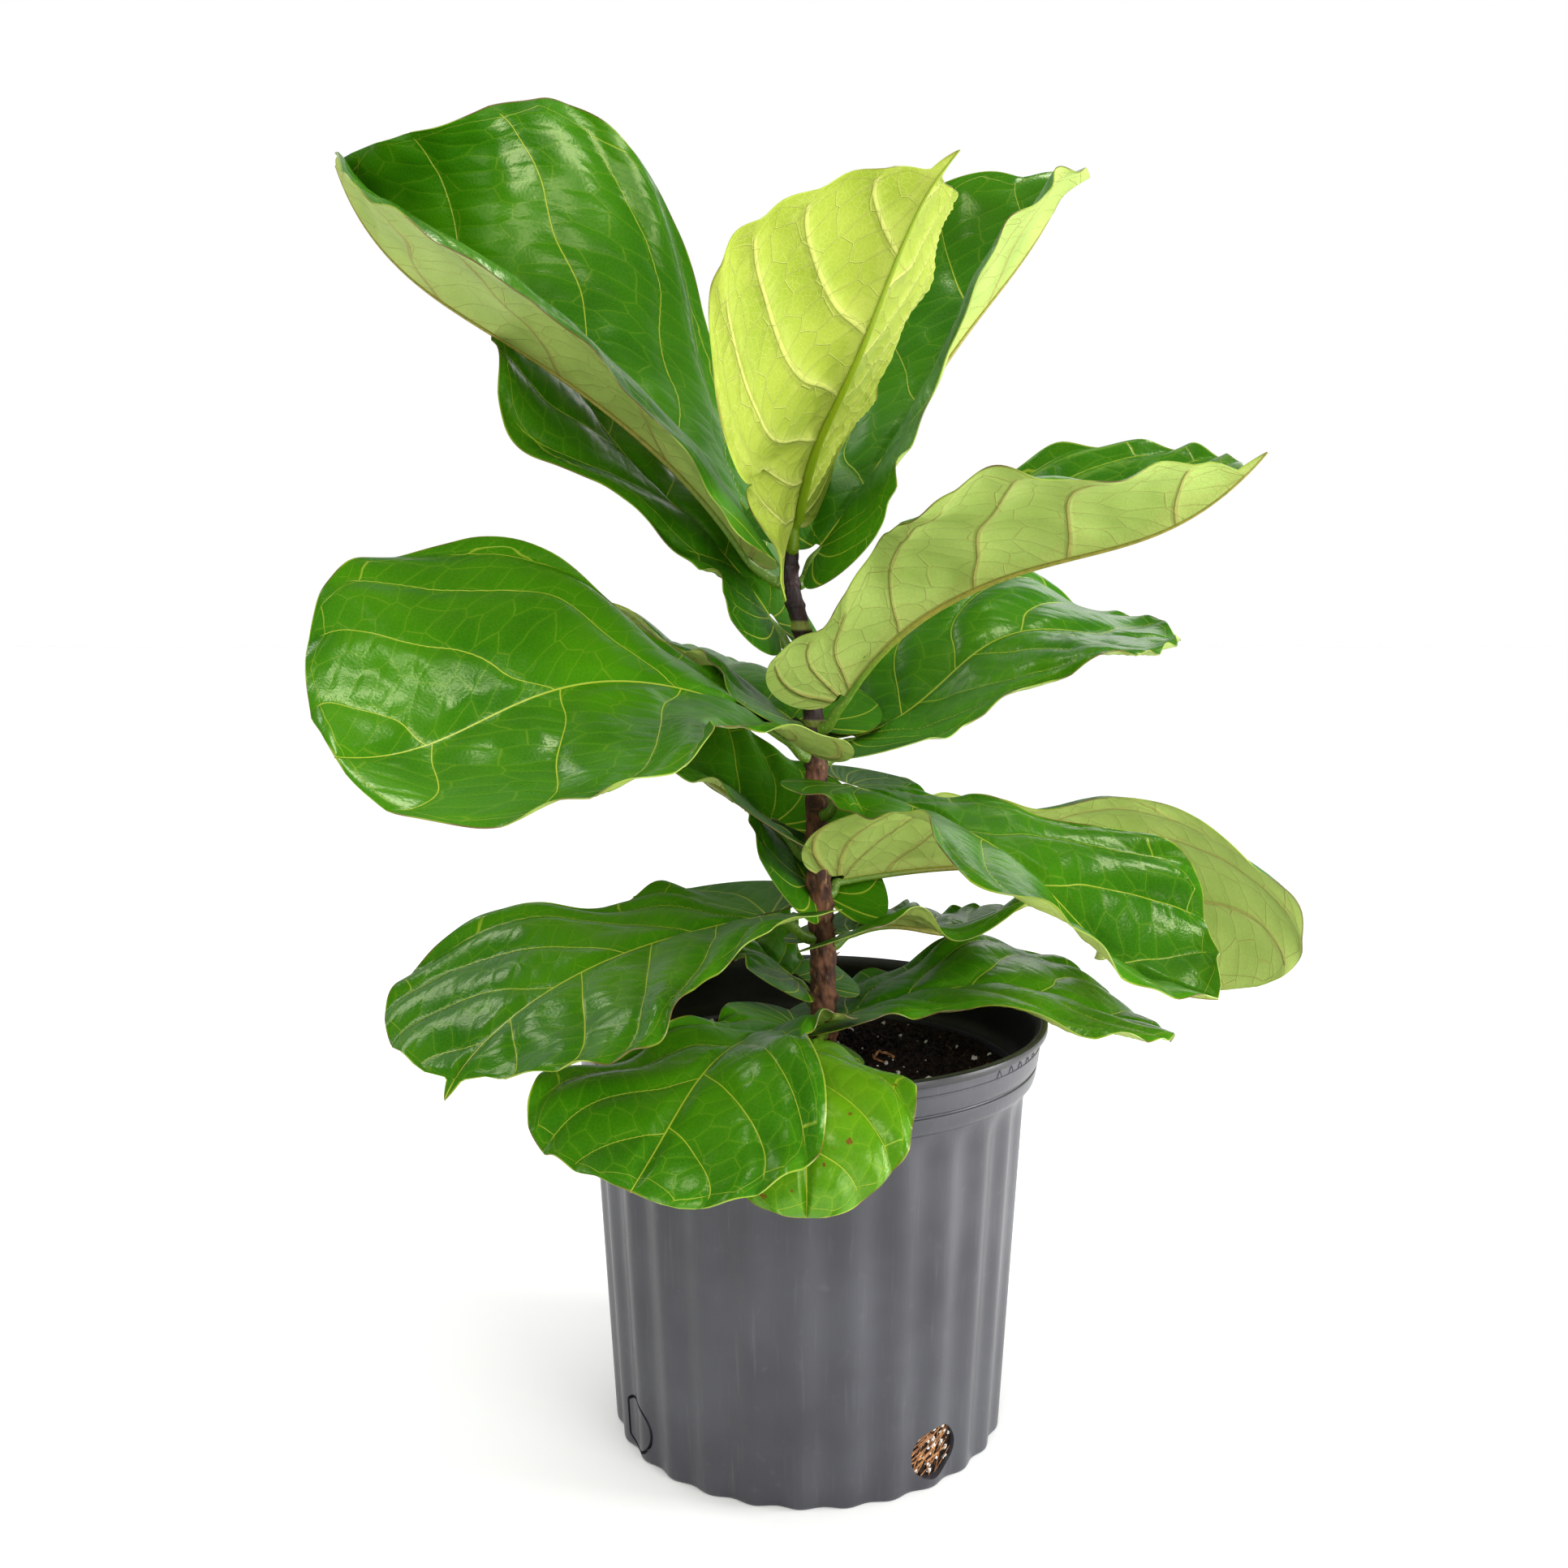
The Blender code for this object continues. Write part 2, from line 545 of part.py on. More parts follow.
def build_mix(material):
    """The potting mix: it fills the pot to the ledge and has a plain hole for the stem."""
    angles = np.arange(MIX_SIDES) * (2.0 * np.pi / MIX_SIDES)
    foot_z = STEM_FOOT_Z - GAP
    mouth_z = MIX_EDGE_Z + MIX_RISE
    shoulder_z = MIX_EDGE_Z - MIX_SHOULDER
    foot = np.array([stem_x(foot_z), 0.0, 0.0])
    mouth = np.array([stem_x(mouth_z), 0.0, 0.0])
    hole = STEM_FOOT_RADIUS + GAP
    rings = [ring_at(inner_radius(z) - MIX_CLEARANCE, z, angles)
             for z in (FLOOR + MIX_CLEARANCE, INNER_TOP_Z / 2.0, shoulder_z)]
    edge = inner_radius(shoulder_z) - 2.0 * MIX_CLEARANCE
    for radius in (edge, *MIX_RING_RADII):
        centre = mouth * np.clip(1.0 - radius / MIX_MOUTH_REACH, 0.0, 1.0)
        rings.append(ring_at(radius, mix_height(radius, angles), angles) + centre)
    rings.append(ring_at(hole, mouth_z - GAP, angles) + mouth)
    rings.append(ring_at(hole, foot_z, angles) + foot)
    verts, faces = lathe(rings, close_top=True, close_bottom=True)
    return add_object("potting_mix", verts, faces, material)


def build_stem(material):
    """The woody stem: a leaning tube from its foot in the mix up to the pointed end bud."""
    turn = np.arange(STEM_SIDES) * (2.0 * np.pi / STEM_SIDES)
    heights = np.concatenate([np.linspace(STEM_FOOT_Z, BUD_Z[0], STEM_RINGS), BUD_Z[1:]])
    radii = stem_radius(heights) * np.interp(heights, BUD_Z, BUD_WIDTH)
    rings = [ring_at(radius, z, turn) + np.array([stem_x(z), 0.0, 0.0]) for radius, z in zip(radii, heights)]
    verts, faces = lathe(rings, close_top=True, close_bottom=True)
    stem = add_object("stem", verts, faces, material)
    stem.data.shade_smooth()
    return stem


def build_leaf(name, leaf, material):
    """One leaf with its stalk."""
    verts, faces = leaf_body(leaf)
    part = add_object(name, verts, faces, material)
    part.data.shade_smooth()
    return part


def main():
    """Clear the scene and build the plant from the pot upwards."""
    for old in list(bpy.data.objects):
        bpy.data.objects.remove(old, do_unlink=True)
    materials = {
        "leaf": add_material("glossy leaf", (0.045, 0.17, 0.02), 0.28),
        "young_leaf": add_material("young leaf", (0.36, 0.52, 0.06), 0.4),
        "old_leaf": add_material("yellowing leaf", (0.16, 0.36, 0.03), 0.32),
    }
    build_pot(add_material("black plastic", (0.07, 0.07, 0.08), 0.42))
    build_mix(add_material("potting mix", (0.03, 0.02, 0.015), 0.95))
    build_stem(add_material("bark", (0.14, 0.07, 0.045), 0.8))
    for name, leaf in LEAVES.items():
        build_leaf(name, leaf, materials[leaf.skin])


main()
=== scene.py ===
"""The looks of a potted fiddle leaf fig.

The young plant stands in a black fluted nursery pot. Every leaf is a waved, veined blade on a short
stalk that grows from one woody stem. Metres, +Z up, the origin in the middle of the pot's underside.
A heading is an angle in degrees from +X towards +Y, so -90 points to the front.
"""
from __future__ import annotations

import logging
from dataclasses import dataclass, field
from enum import Enum
from typing import Sequence

import bpy
import numpy as np
from mathutils import Matrix


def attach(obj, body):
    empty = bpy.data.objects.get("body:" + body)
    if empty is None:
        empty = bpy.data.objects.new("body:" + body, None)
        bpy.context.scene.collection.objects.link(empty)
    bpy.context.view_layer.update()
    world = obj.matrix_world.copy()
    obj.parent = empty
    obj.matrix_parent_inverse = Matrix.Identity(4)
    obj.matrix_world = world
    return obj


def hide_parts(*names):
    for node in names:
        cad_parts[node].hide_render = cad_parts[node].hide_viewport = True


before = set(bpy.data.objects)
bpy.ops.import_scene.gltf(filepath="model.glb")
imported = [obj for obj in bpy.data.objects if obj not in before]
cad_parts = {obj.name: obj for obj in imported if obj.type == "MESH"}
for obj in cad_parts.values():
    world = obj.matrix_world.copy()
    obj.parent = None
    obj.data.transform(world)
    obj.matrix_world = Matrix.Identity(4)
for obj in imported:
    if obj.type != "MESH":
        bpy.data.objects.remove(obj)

LOG = logging.getLogger("fig")
MM = 0.001
BODY = "root"
UP = np.array([0.0, 0.0, 1.0])
Colour = tuple[float, float, float]

# The stem's centre line and radius, which the leaves grow from
STEM_Z = (0.170, 0.220, 0.274, 0.330, 0.410, 0.460, 0.490, 0.520)
STEM_X = (0.0090, 0.0088, 0.0080, 0.0050, 0.0025, -0.0040, -0.0110, -0.0095)
STEM_RADIUS_Z = (0.22, 0.50)
STEM_RADII = (0.0066, 0.0042)

# The pot's inside from its floor to its collar, and the drain hole and how far out the mix shows there
POT_INSIDE_Z = (0.003, 0.203)
POT_INSIDE_RADII = (0.1094, 0.1216)
DRAIN_HEADING = -53.5
DRAIN_Z = 0.0207
DRAIN_RADIUS = 0.0152
DRAIN_DEPTH = 0.111


def smooth(t: np.ndarray) -> np.ndarray:
    """Rise from 0 to 1 with level ends: 3 t squared minus 2 t cubed."""
    t = np.clip(t, 0.0, 1.0)
    return t * t * (3.0 - 2.0 * t)


def through(s: np.ndarray, knots: Sequence[float], values: Sequence[float]) -> np.ndarray:
    """A smooth curve through values at knots, a cubic on each stretch with the knots' mean slopes.

    Args:
        s: Where the curve is wanted.
        knots: Rising places of the known values.
        values: The values there.

    Returns:
        The curve's values at s.
    """
    knots = np.asarray(knots, float)
    values = np.asarray(values, float)
    slopes = np.gradient(values, knots)
    i = np.clip(np.searchsorted(knots, s, side="right") - 1, 0, len(knots) - 2)
    span = knots[i + 1] - knots[i]
    t = (s - knots[i]) / span
    return ((2 * t**3 - 3 * t**2 + 1) * values[i] + (t**3 - 2 * t**2 + t) * span * slopes[i]
            + (3 * t**2 - 2 * t**3) * values[i + 1] + (t**3 - t**2) * span * slopes[i + 1])


def stem_x(z: np.ndarray) -> np.ndarray:
    """The stem's centre line: x at each height."""
    return through(np.clip(z, STEM_Z[0], STEM_Z[-1]), STEM_Z, STEM_X)


def stem_radius(z: np.ndarray) -> np.ndarray:
    """The stem's radius at each height."""
    return np.interp(z, STEM_RADIUS_Z, STEM_RADII)


def pot_inside(z: np.ndarray) -> np.ndarray:
    """The radius of the pot's inside at each height, up to its collar."""
    return np.interp(z, POT_INSIDE_Z, POT_INSIDE_RADII)


def direction(rise: np.ndarray, heading: np.ndarray) -> np.ndarray:
    """Unit vectors that climb at rise and point along heading, both in radians."""
    return np.stack([np.cos(rise) * np.cos(heading), np.cos(rise) * np.sin(heading), np.sin(rise)], -1)


def leftward(heading: np.ndarray) -> np.ndarray:
    """Level unit vectors to the left of a heading in radians."""
    return np.stack([-np.sin(heading), np.cos(heading), 0.0 * heading], -1)


def walk(start: np.ndarray, steps: np.ndarray, length: float) -> np.ndarray:
    """Points of a path: the start plus the running sum of its directions, scaled to the length."""
    middle = (steps[1:] + steps[:-1]) / 2.0 * (length / (len(steps) - 1))
    return start + np.concatenate([np.zeros((1, 3)), np.cumsum(middle, 0)])


def unit(vectors: np.ndarray) -> np.ndarray:
    """The vectors at length 1."""
    return vectors / (np.linalg.norm(vectors, axis=-1, keepdims=True) + 1e-12)


def columns_at(x: np.ndarray, xs: np.ndarray, values: np.ndarray) -> np.ndarray:
    """Straight-line reading of a table of vectors, one column at a time."""
    return np.stack([np.interp(x, xs, values[:, k]) for k in range(values.shape[1])], -1)


def swell(points: np.ndarray, size: float, seed: int, waves: int = 9) -> np.ndarray:
    """Soft seeded bumps: the mean of sine waves that run in many directions.

    Args:
        points: Places, any shape with two or three coordinates last.
        size: Rough distance from bump to bump, in the points' unit.
        seed: Picks the directions and phases.
        waves: How many waves are added.

    Returns:
        Values of about -1 to 1, one for each place.
    """
    rng = np.random.default_rng(seed)
    ways = unit(rng.normal(size=(waves, points.shape[-1])))
    pitch = 2.0 * np.pi / size * rng.uniform(0.6, 1.5, waves)
    phase = rng.uniform(0.0, 2.0 * np.pi, waves)
    return np.sin(points @ (ways * pitch[:, None]).T + phase).sum(-1) / np.sqrt(waves)


def grid_faces(rows: int, columns: int, loop: bool = False) -> np.ndarray:
    """Quads of a grid of points, corner order row then column.

    Args:
        rows: Number of rows of points.
        columns: Number of points in a row.
        loop: Whether each row closes on itself.

    Returns:
        An array of four point numbers a face.
    """
    i, j = np.meshgrid(np.arange(rows - 1), np.arange(columns if loop else columns - 1), indexing="ij")
    n = (j + 1) % columns
    quads = np.stack([i * columns + j, (i + 1) * columns + j, (i + 1) * columns + n, i * columns + n], -1)
    return quads.reshape(-1, 4)


@dataclass
class Body:
    """A mesh being put together: points, faces, and values that the materials read."""

    points: list[np.ndarray] = field(default_factory=list)
    faces: list[np.ndarray] = field(default_factory=list)
    slots: list[np.ndarray] = field(default_factory=list)
    count: int = 0

    def add(self, points: np.ndarray, faces: Sequence[np.ndarray], slot: int = 0) -> None:
        """Add a surface.

        Args:
            points: Its points, three columns.
            faces: Arrays of point numbers of this surface, three or four a face.
            slot: Number of its material.
        """
        self.points.append(points)
        for array in faces:
            self.faces.append(array + self.count)
            self.slots.append(np.full(len(array), slot))
        self.count += len(points)

    @classmethod
    def of(cls, points: np.ndarray, faces: Sequence[np.ndarray]) -> Body:
        """A body that starts as one surface, in its first material.

        Args:
            points: Its points, three columns.
            faces: Arrays of point numbers.

        Returns:
            The body.
        """
        body = cls()
        body.add(points, faces)
        return body

    def make(self, name: str, materials: Sequence[bpy.types.Material],
             sharp: float = 60.0) -> bpy.types.Object:
        """Write the mesh with foreach_set and link its object at the origin.

        Args:
            name: The piece's name.
            materials: Its materials in slot order.
            sharp: Angle in degrees past which an edge stays sharp.

        Returns:
            The new object.
        """
        points = np.concatenate(self.points)
        loops = np.concatenate([f.ravel() for f in self.faces]).astype(np.int32)
        sizes = np.concatenate([np.full(len(f), f.shape[1]) for f in self.faces]).astype(np.int32)
        mesh = bpy.data.meshes.new(name)
        mesh.vertices.add(len(points))
        mesh.vertices.foreach_set("co", points.astype(np.float32).ravel())
        mesh.loops.add(len(loops))
        mesh.loops.foreach_set("vertex_index", loops)
        mesh.polygons.add(len(sizes))
        mesh.polygons.foreach_set("loop_start", (np.cumsum(sizes) - sizes).astype(np.int32))
        for material in materials:
            mesh.materials.append(material)
        mesh.polygons.foreach_set("material_index", np.concatenate(self.slots).astype(np.int32))
        mesh.update(calc_edges=True)
        mesh.validate()
        mesh.shade_smooth()
        mesh.set_sharp_from_angle(angle=np.radians(sharp))
        piece = bpy.data.objects.new(name, mesh)
        bpy.context.scene.collection.objects.link(piece)
        return piece


def give_values(piece: bpy.types.Object, name: str, values: np.ndarray) -> None:
    """Store one number or one vector a point, for an Attribute node to read.

    Args:
        piece: The object that gets them.
        name: The attribute's name.
        values: The numbers, or vectors in three columns.
    """
    kind = "FLOAT" if values.ndim == 1 else "FLOAT_VECTOR"
    layer = piece.data.attributes.new(name, kind, "POINT")
    layer.data.foreach_set("value" if values.ndim == 1 else "vector", values.astype(np.float32).ravel())


def give_map(piece: bpy.types.Object, name: str, corners: np.ndarray) -> None:
    """Store a UV map, two numbers for each face corner."""
    layer = piece.data.uv_layers.new(name=name)
    layer.data.foreach_set("uv", corners.astype(np.float32).ravel())


def turns(sides: int) -> np.ndarray:
    """Equal steps once round a circle, in radians."""
    return np.arange(sides) * (2.0 * np.pi / sides)


def polar(radius: np.ndarray, angle: np.ndarray, z: np.ndarray) -> np.ndarray:
    """Points at a distance from the upright axis, an angle in radians and a height."""
    return np.stack(np.broadcast_arrays(radius * np.cos(angle), radius * np.sin(angle), z), -1)


def capped(rings: np.ndarray, foot: Sequence[float], head: Sequence[float]) -> tuple:
    """A closed body from rings of points, with one more point at each end.

    Args:
        rings: The points, the first axis from ring to ring and the second round each ring.
        foot: The point that closes the first ring.
        head: The point that closes the last ring.

    Returns:
        Points and three face arrays: the quads between rings, the fan at the foot and at the head.
    """
    count, sides = rings.shape[:2]
    around = np.arange(sides)
    after = (around + 1) % sides
    last = (count - 1) * sides
    end = count * sides
    faces = [grid_faces(count, sides, loop=True)[:, ::-1],
             np.stack([after, around, np.full(sides, end)], -1),
             np.stack([last + around, last + after, np.full(sides, end + 1)], -1)]
    return np.concatenate([rings.reshape(-1, 3), [foot, head]]), faces


def tube(path: np.ndarray, radii: np.ndarray, sides: int, left: np.ndarray, up: np.ndarray) -> tuple:
    """A closed tube: circles of the given radii carried along a path, with a point at each end.

    Args:
        path: Points of the centre line.
        radii: The radius at each point.
        sides: Points round each circle.
        left: Sideways unit vector at each point.
        up: Upward unit vector at each point.

    Returns:
        Points and a list of face arrays.
    """
    turn = turns(sides)[:, None]
    circles = np.cos(turn) * left[:, None] + np.sin(turn) * up[:, None]
    return capped(path[:, None] + radii[:, None, None] * circles, path[0], path[-1])


def strand(path: np.ndarray, radii: np.ndarray, sides: int = 8) -> tuple:
    """A thin tube along any path, its sideways vectors kept as level as the path allows.

    Args:
        path: Points of the centre line.
        radii: The radius at each point.
        sides: Points round each circle.

    Returns:
        Points and a list of face arrays.
    """
    forward = unit(np.gradient(path, axis=0))
    left = unit(np.cross(UP + np.array([0.01, 0.003, 0.0]), forward))
    return tube(path, radii, sides, left, np.cross(forward, left))


def dress(pieces: list[bpy.types.Object], node: str) -> list[bpy.types.Object]:
    """Fasten pieces to the body and hide the CAD node that they stand for.

    Args:
        pieces: The pieces, the first of which stands for the CAD node.
        node: The CAD node.

    Returns:
        The pieces.
    """
    for piece in pieces:
        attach(piece, BODY)
    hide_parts(node)
    return pieces


class Graph:
    """The node tree of a material or a world, with one short method for each kind of node it needs."""

    def __init__(self, owner: bpy.types.Material | bpy.types.World) -> None:
        """Start an empty tree.

        Args:
            owner: The material or the world that it belongs to.
        """
        owner.use_nodes = True
        self.owner = owner
        self.tree = owner.node_tree
        self.tree.nodes.clear()

    @classmethod
    def skin(cls, name: str) -> Graph:
        """Start a material."""
        return cls(bpy.data.materials.new(name))

    def put(self, value: object, socket: bpy.types.NodeSocket) -> None:
        """Link a socket to a socket, or write a number or a colour into it.

        Args:
            value: A socket, a number, or the three numbers of a colour or a vector.
            socket: The input that gets it.
        """
        if isinstance(value, bpy.types.NodeSocket):
            self.tree.links.new(value, socket)
        elif isinstance(value, tuple) and socket.type == "RGBA":
            socket.default_value = (*value, 1.0)
        else:
            socket.default_value = value

    def node(self, kind: str, **settings: object) -> bpy.types.Node:
        """A new node.

        Args:
            kind: The node's kind, without the words that all kinds start with.
            settings: Its settings.

        Returns:
            The node.
        """
        made = self.tree.nodes.new("ShaderNode" + kind)
        for name, value in settings.items():
            setattr(made, name, value)
        return made

    def wired(self, kind: str, values: dict, output: object = 0, **settings: object) -> bpy.types.NodeSocket:
        """One output of a new node.

        Args:
            kind: The node's kind.
            values: What goes into each input, by the input's name or number.
            output: Name or number of the output.
            settings: The node's settings.

        Returns:
            The output.
        """
        made = self.node(kind, **settings)
        for key, value in values.items():
            self.put(value, made.inputs[key])
        return made.outputs[output]

    def math(self, operation: str, *values: object) -> bpy.types.NodeSocket:
        """One step of arithmetic."""
        return self.wired("Math", dict(enumerate(values)), operation=operation)

    def plus(self, a: object, b: object) -> bpy.types.NodeSocket:
        """The sum of two numbers."""
        return self.math("ADD", a, b)

    def times(self, a: object, b: object) -> bpy.types.NodeSocket:
        """The product of two numbers."""
        return self.math("MULTIPLY", a, b)

    def line(self, a: object, b: object, c: object) -> bpy.types.NodeSocket:
        """The product of two numbers, plus a third."""
        return self.math("MULTIPLY_ADD", a, b, c)

    def absolute(self, a: object) -> bpy.types.NodeSocket:
        """A number without its sign."""
        return self.math("ABSOLUTE", a)

    def total(self, *parts: tuple) -> bpy.types.NodeSocket:
        """The sum of numbers, each given with its weight.

        Args:
            parts: Each number with its weight.

        Returns:
            The sum.
        """
        whole = 0.0
        for value, weight in parts:
            whole = self.line(value, weight, whole)
        return whole

    def rise(self, value: object, low: object, high: object, start: float = 0.0,
             end: float = 1.0) -> bpy.types.NodeSocket:
        """A smooth step: start below low, end above high."""
        return self.wired("MapRange", {"Value": value, "From Min": low, "From Max": high, "To Min": start,
                                       "To Max": end}, "Result", interpolation_type="SMOOTHSTEP")

    def mix(self, factor: object, a: object, b: object) -> bpy.types.NodeSocket:
        """A blend of two colours."""
        return self.wired("Mix", {0: factor, 6: a, 7: b}, 2, data_type="RGBA")

    def layers(self, body: object, colour: Colour, *masks: tuple) -> bpy.types.NodeSocket:
        """A colour laid over a body through masks, one after the other.

        Args:
            body: The colour below.
            colour: The colour on top.
            masks: Each mask with its strength.

        Returns:
            The blended colour.
        """
        for mask, strength in masks:
            body = self.mix(self.times(mask, strength), body, colour)
        return body

    def combine(self, x: object, y: object, z: object = 0.0) -> bpy.types.NodeSocket:
        """A vector from three numbers."""
        return self.wired("CombineXYZ", {0: x, 1: y, 2: z})

    def split(self, vector: bpy.types.NodeSocket) -> tuple:
        """The three numbers of a vector."""
        made = self.node("SeparateXYZ")
        self.put(vector, made.inputs[0])
        return tuple(made.outputs)

    def scaled(self, vector: object, scale: tuple) -> bpy.types.NodeSocket:
        """A vector stretched along each axis."""
        return self.wired("VectorMath", {0: vector, 1: scale}, operation="MULTIPLY")

    def moved(self, vector: object, other: object) -> bpy.types.NodeSocket:
        """The sum of two vectors."""
        return self.wired("VectorMath", {0: vector, 1: other}, operation="ADD")

    def noise(self, vector: object, scale: float, detail: float = 3.0,
              colour: bool = False) -> bpy.types.NodeSocket:
        """Soft noise of 0 to 1, or three noises as a vector."""
        values = {"Vector": vector, "Scale": scale, "Detail": detail}
        return self.wired("TexNoise", values, "Color" if colour else "Fac")

    def cells(self, vector: object, scale: float, feature: str = "DISTANCE_TO_EDGE",
              flat: bool = True, spread: float = 1.0) -> bpy.types.NodeSocket:
        """Distances in a net of cells, the more even the smaller the spread.

        Args:
            vector: Where it is read.
            scale: Cells to the unit.
            feature: "DISTANCE_TO_EDGE" for the distance to a cell's border, "F1" to its middle.
            flat: Whether the net lies in the plane.
            spread: How unevenly the cells lie, up to 1.

        Returns:
            The distance.
        """
        values = {"Vector": vector, "Scale": scale, "Randomness": spread}
        return self.wired("TexVoronoi", values, "Distance", feature=feature,
                          voronoi_dimensions="2D" if flat else "3D")

    def uv(self, name: str) -> bpy.types.NodeSocket:
        """The piece's UV map of that name."""
        return self.node("UVMap", uv_map=name).outputs[0]

    def value(self, name: str, vector: bool = False) -> bpy.types.NodeSocket:
        """A number or a vector stored on the piece's points."""
        return self.node("Attribute", attribute_name=name).outputs["Vector" if vector else "Fac"]

    def place(self) -> bpy.types.NodeSocket:
        """Object coordinates."""
        return self.node("TexCoord").outputs["Object"]

    def finish(self, colour: object, roughness: object, height: object = None, depth: float = 0.001,
               strength: float = 1.0, **settings: object) -> bpy.types.Material:
        """Wire the material's Principled shader.

        Args:
            colour: Base colour.
            roughness: Roughness.
            height: Relief of 0 to 1, or None for a level surface.
            depth: Height in metres that a relief of 1 stands for.
            strength: How much of the relief is used.
            settings: Values for other sockets, underscores for spaces.

        Returns:
            The finished material.
        """
        values = {"Base Color": colour, "Roughness": roughness}
        values |= {name.replace("_", " "): value for name, value in settings.items()}
        if height is not None:
            values["Normal"] = self.wired("Bump", {"Strength": strength, "Distance": depth, "Height": height})
        self.put(self.wired("BsdfPrincipled", values), self.node("OutputMaterial").inputs["Surface"])
        return self.owner


class Look(Enum):
    """What a leaf's age makes of it."""

    MATURE = "leaf"
    YOUNG = "young_leaf"
    OLD = "old_leaf"


@dataclass(frozen=True)
class VeinPattern:
    """The masks and reliefs of a leaf's veins, worked out in a material from the maps on the blade."""

    large: bpy.types.NodeSocket
    small: bpy.types.NodeSocket
    net: bpy.types.NodeSocket
    pillow: bpy.types.NodeSocket
    dimple: bpy.types.NodeSocket
    crinkle: bpy.types.NodeSocket
    swelling: bpy.types.NodeSocket
    edge: bpy.types.NodeSocket
    station: bpy.types.NodeSocket

    @classmethod
    def read(cls, g: Graph, stout: float = 1.0) -> VeinPattern:
        """Build the pattern's nodes.

        A lateral vein lies where the first number of the "veins" map is whole, and the second is the
        distance in metres from one lateral to the next. Rungs cross from lateral to lateral, a little
        uneven, and inside the cells between them lies a fine net. Loops join the laterals a little way
        in from the rim. Fine wrinkles stand square to each lateral and to the midrib and fade away
        from them.

        Args:
            g: The material being made.
            stout: How thick the laterals are.

        Returns:
            The large veins, the small veins and the net, the pillows between the small veins and
            inside the net, the wrinkles, the swelling along the laterals, the distance to the rim
            and the station along the midrib.
        """
        flat = g.uv("flat")
        phase, pitch, _ = g.split(g.uv("veins"))
        along, across, _ = g.split(flat)
        edge, station, _ = g.split(g.value("form", vector=True))
        reach = g.absolute(across)
        down = g.times(g.line(along, 0.72, reach), 0.81)
        off = g.absolute(g.plus(g.math("FRACT", g.plus(phase, 0.5)), -0.5))
        gap = g.times(off, pitch)
        inner = g.rise(edge, 0.0070, 0.0105)
        width = g.line(g.math("MINIMUM", edge, 0.06), 0.0055 * stout, 0.00030 * stout)
        lateral = g.times(g.rise(gap, g.times(width, 0.55), g.times(width, 1.3), 1.0, 0.0), inner)
        swelling = g.times(g.rise(gap, 0.0, g.times(width, 3.2), 1.0, 0.0), inner)
        bow = g.plus(g.line(off, -0.014, 0.0090), g.times(g.noise(flat, 45.0, 2.0), 0.005))
        loop = g.rise(g.absolute(g.math("SUBTRACT", edge, bow)), 0.0001, 0.0004, 1.0, 0.0)
        loop = g.times(loop, g.rise(pitch, 0.010, 0.018, 0.0, 0.6))
        middle = g.line(station, -0.0007, 0.00115)
        rib = g.rise(reach, g.times(middle, 0.6), middle, 1.0, 0.0)
        large = g.math("MAXIMUM", g.math("MAXIMUM", lateral, loop), rib)
        sway = g.scaled(g.noise(flat, 60.0, 2.0, colour=True), (0.22, 0.30, 0.0))
        rungs = g.combine(g.line(phase, 2.0, 0.825), g.times(down, 95.0))
        coarse = g.cells(g.moved(rungs, sway), 1.0, spread=0.68)
        shake = g.scaled(g.noise(flat, 120.0, 2.0, colour=True), (0.003, 0.003, 0.0))
        fine = g.cells(g.moved(g.combine(along, across), shake), 360.0)
        small = g.times(g.rise(coarse, 0.008, 0.030, 1.0, 0.0), g.rise(edge, 0.0015, 0.0045))
        folds = g.noise(g.combine(g.times(down, 430.0), g.times(phase, 3.0)), 1.0)
        pleats = g.noise(g.combine(g.times(along, 430.0), g.times(reach, 40.0)), 1.0)
        crinkle = g.plus(g.times(folds, g.rise(gap, 0.001, 0.016, 1.0, 0.12)),
                         g.times(pleats, g.rise(reach, 0.002, 0.014, 1.0, 0.0)))
        return cls(large, small, g.rise(fine, 0.03, 0.10, 1.0, 0.0), g.rise(coarse, 0.0, 0.30),
                   g.rise(fine, 0.0, 0.5), crinkle, swelling, edge, station)


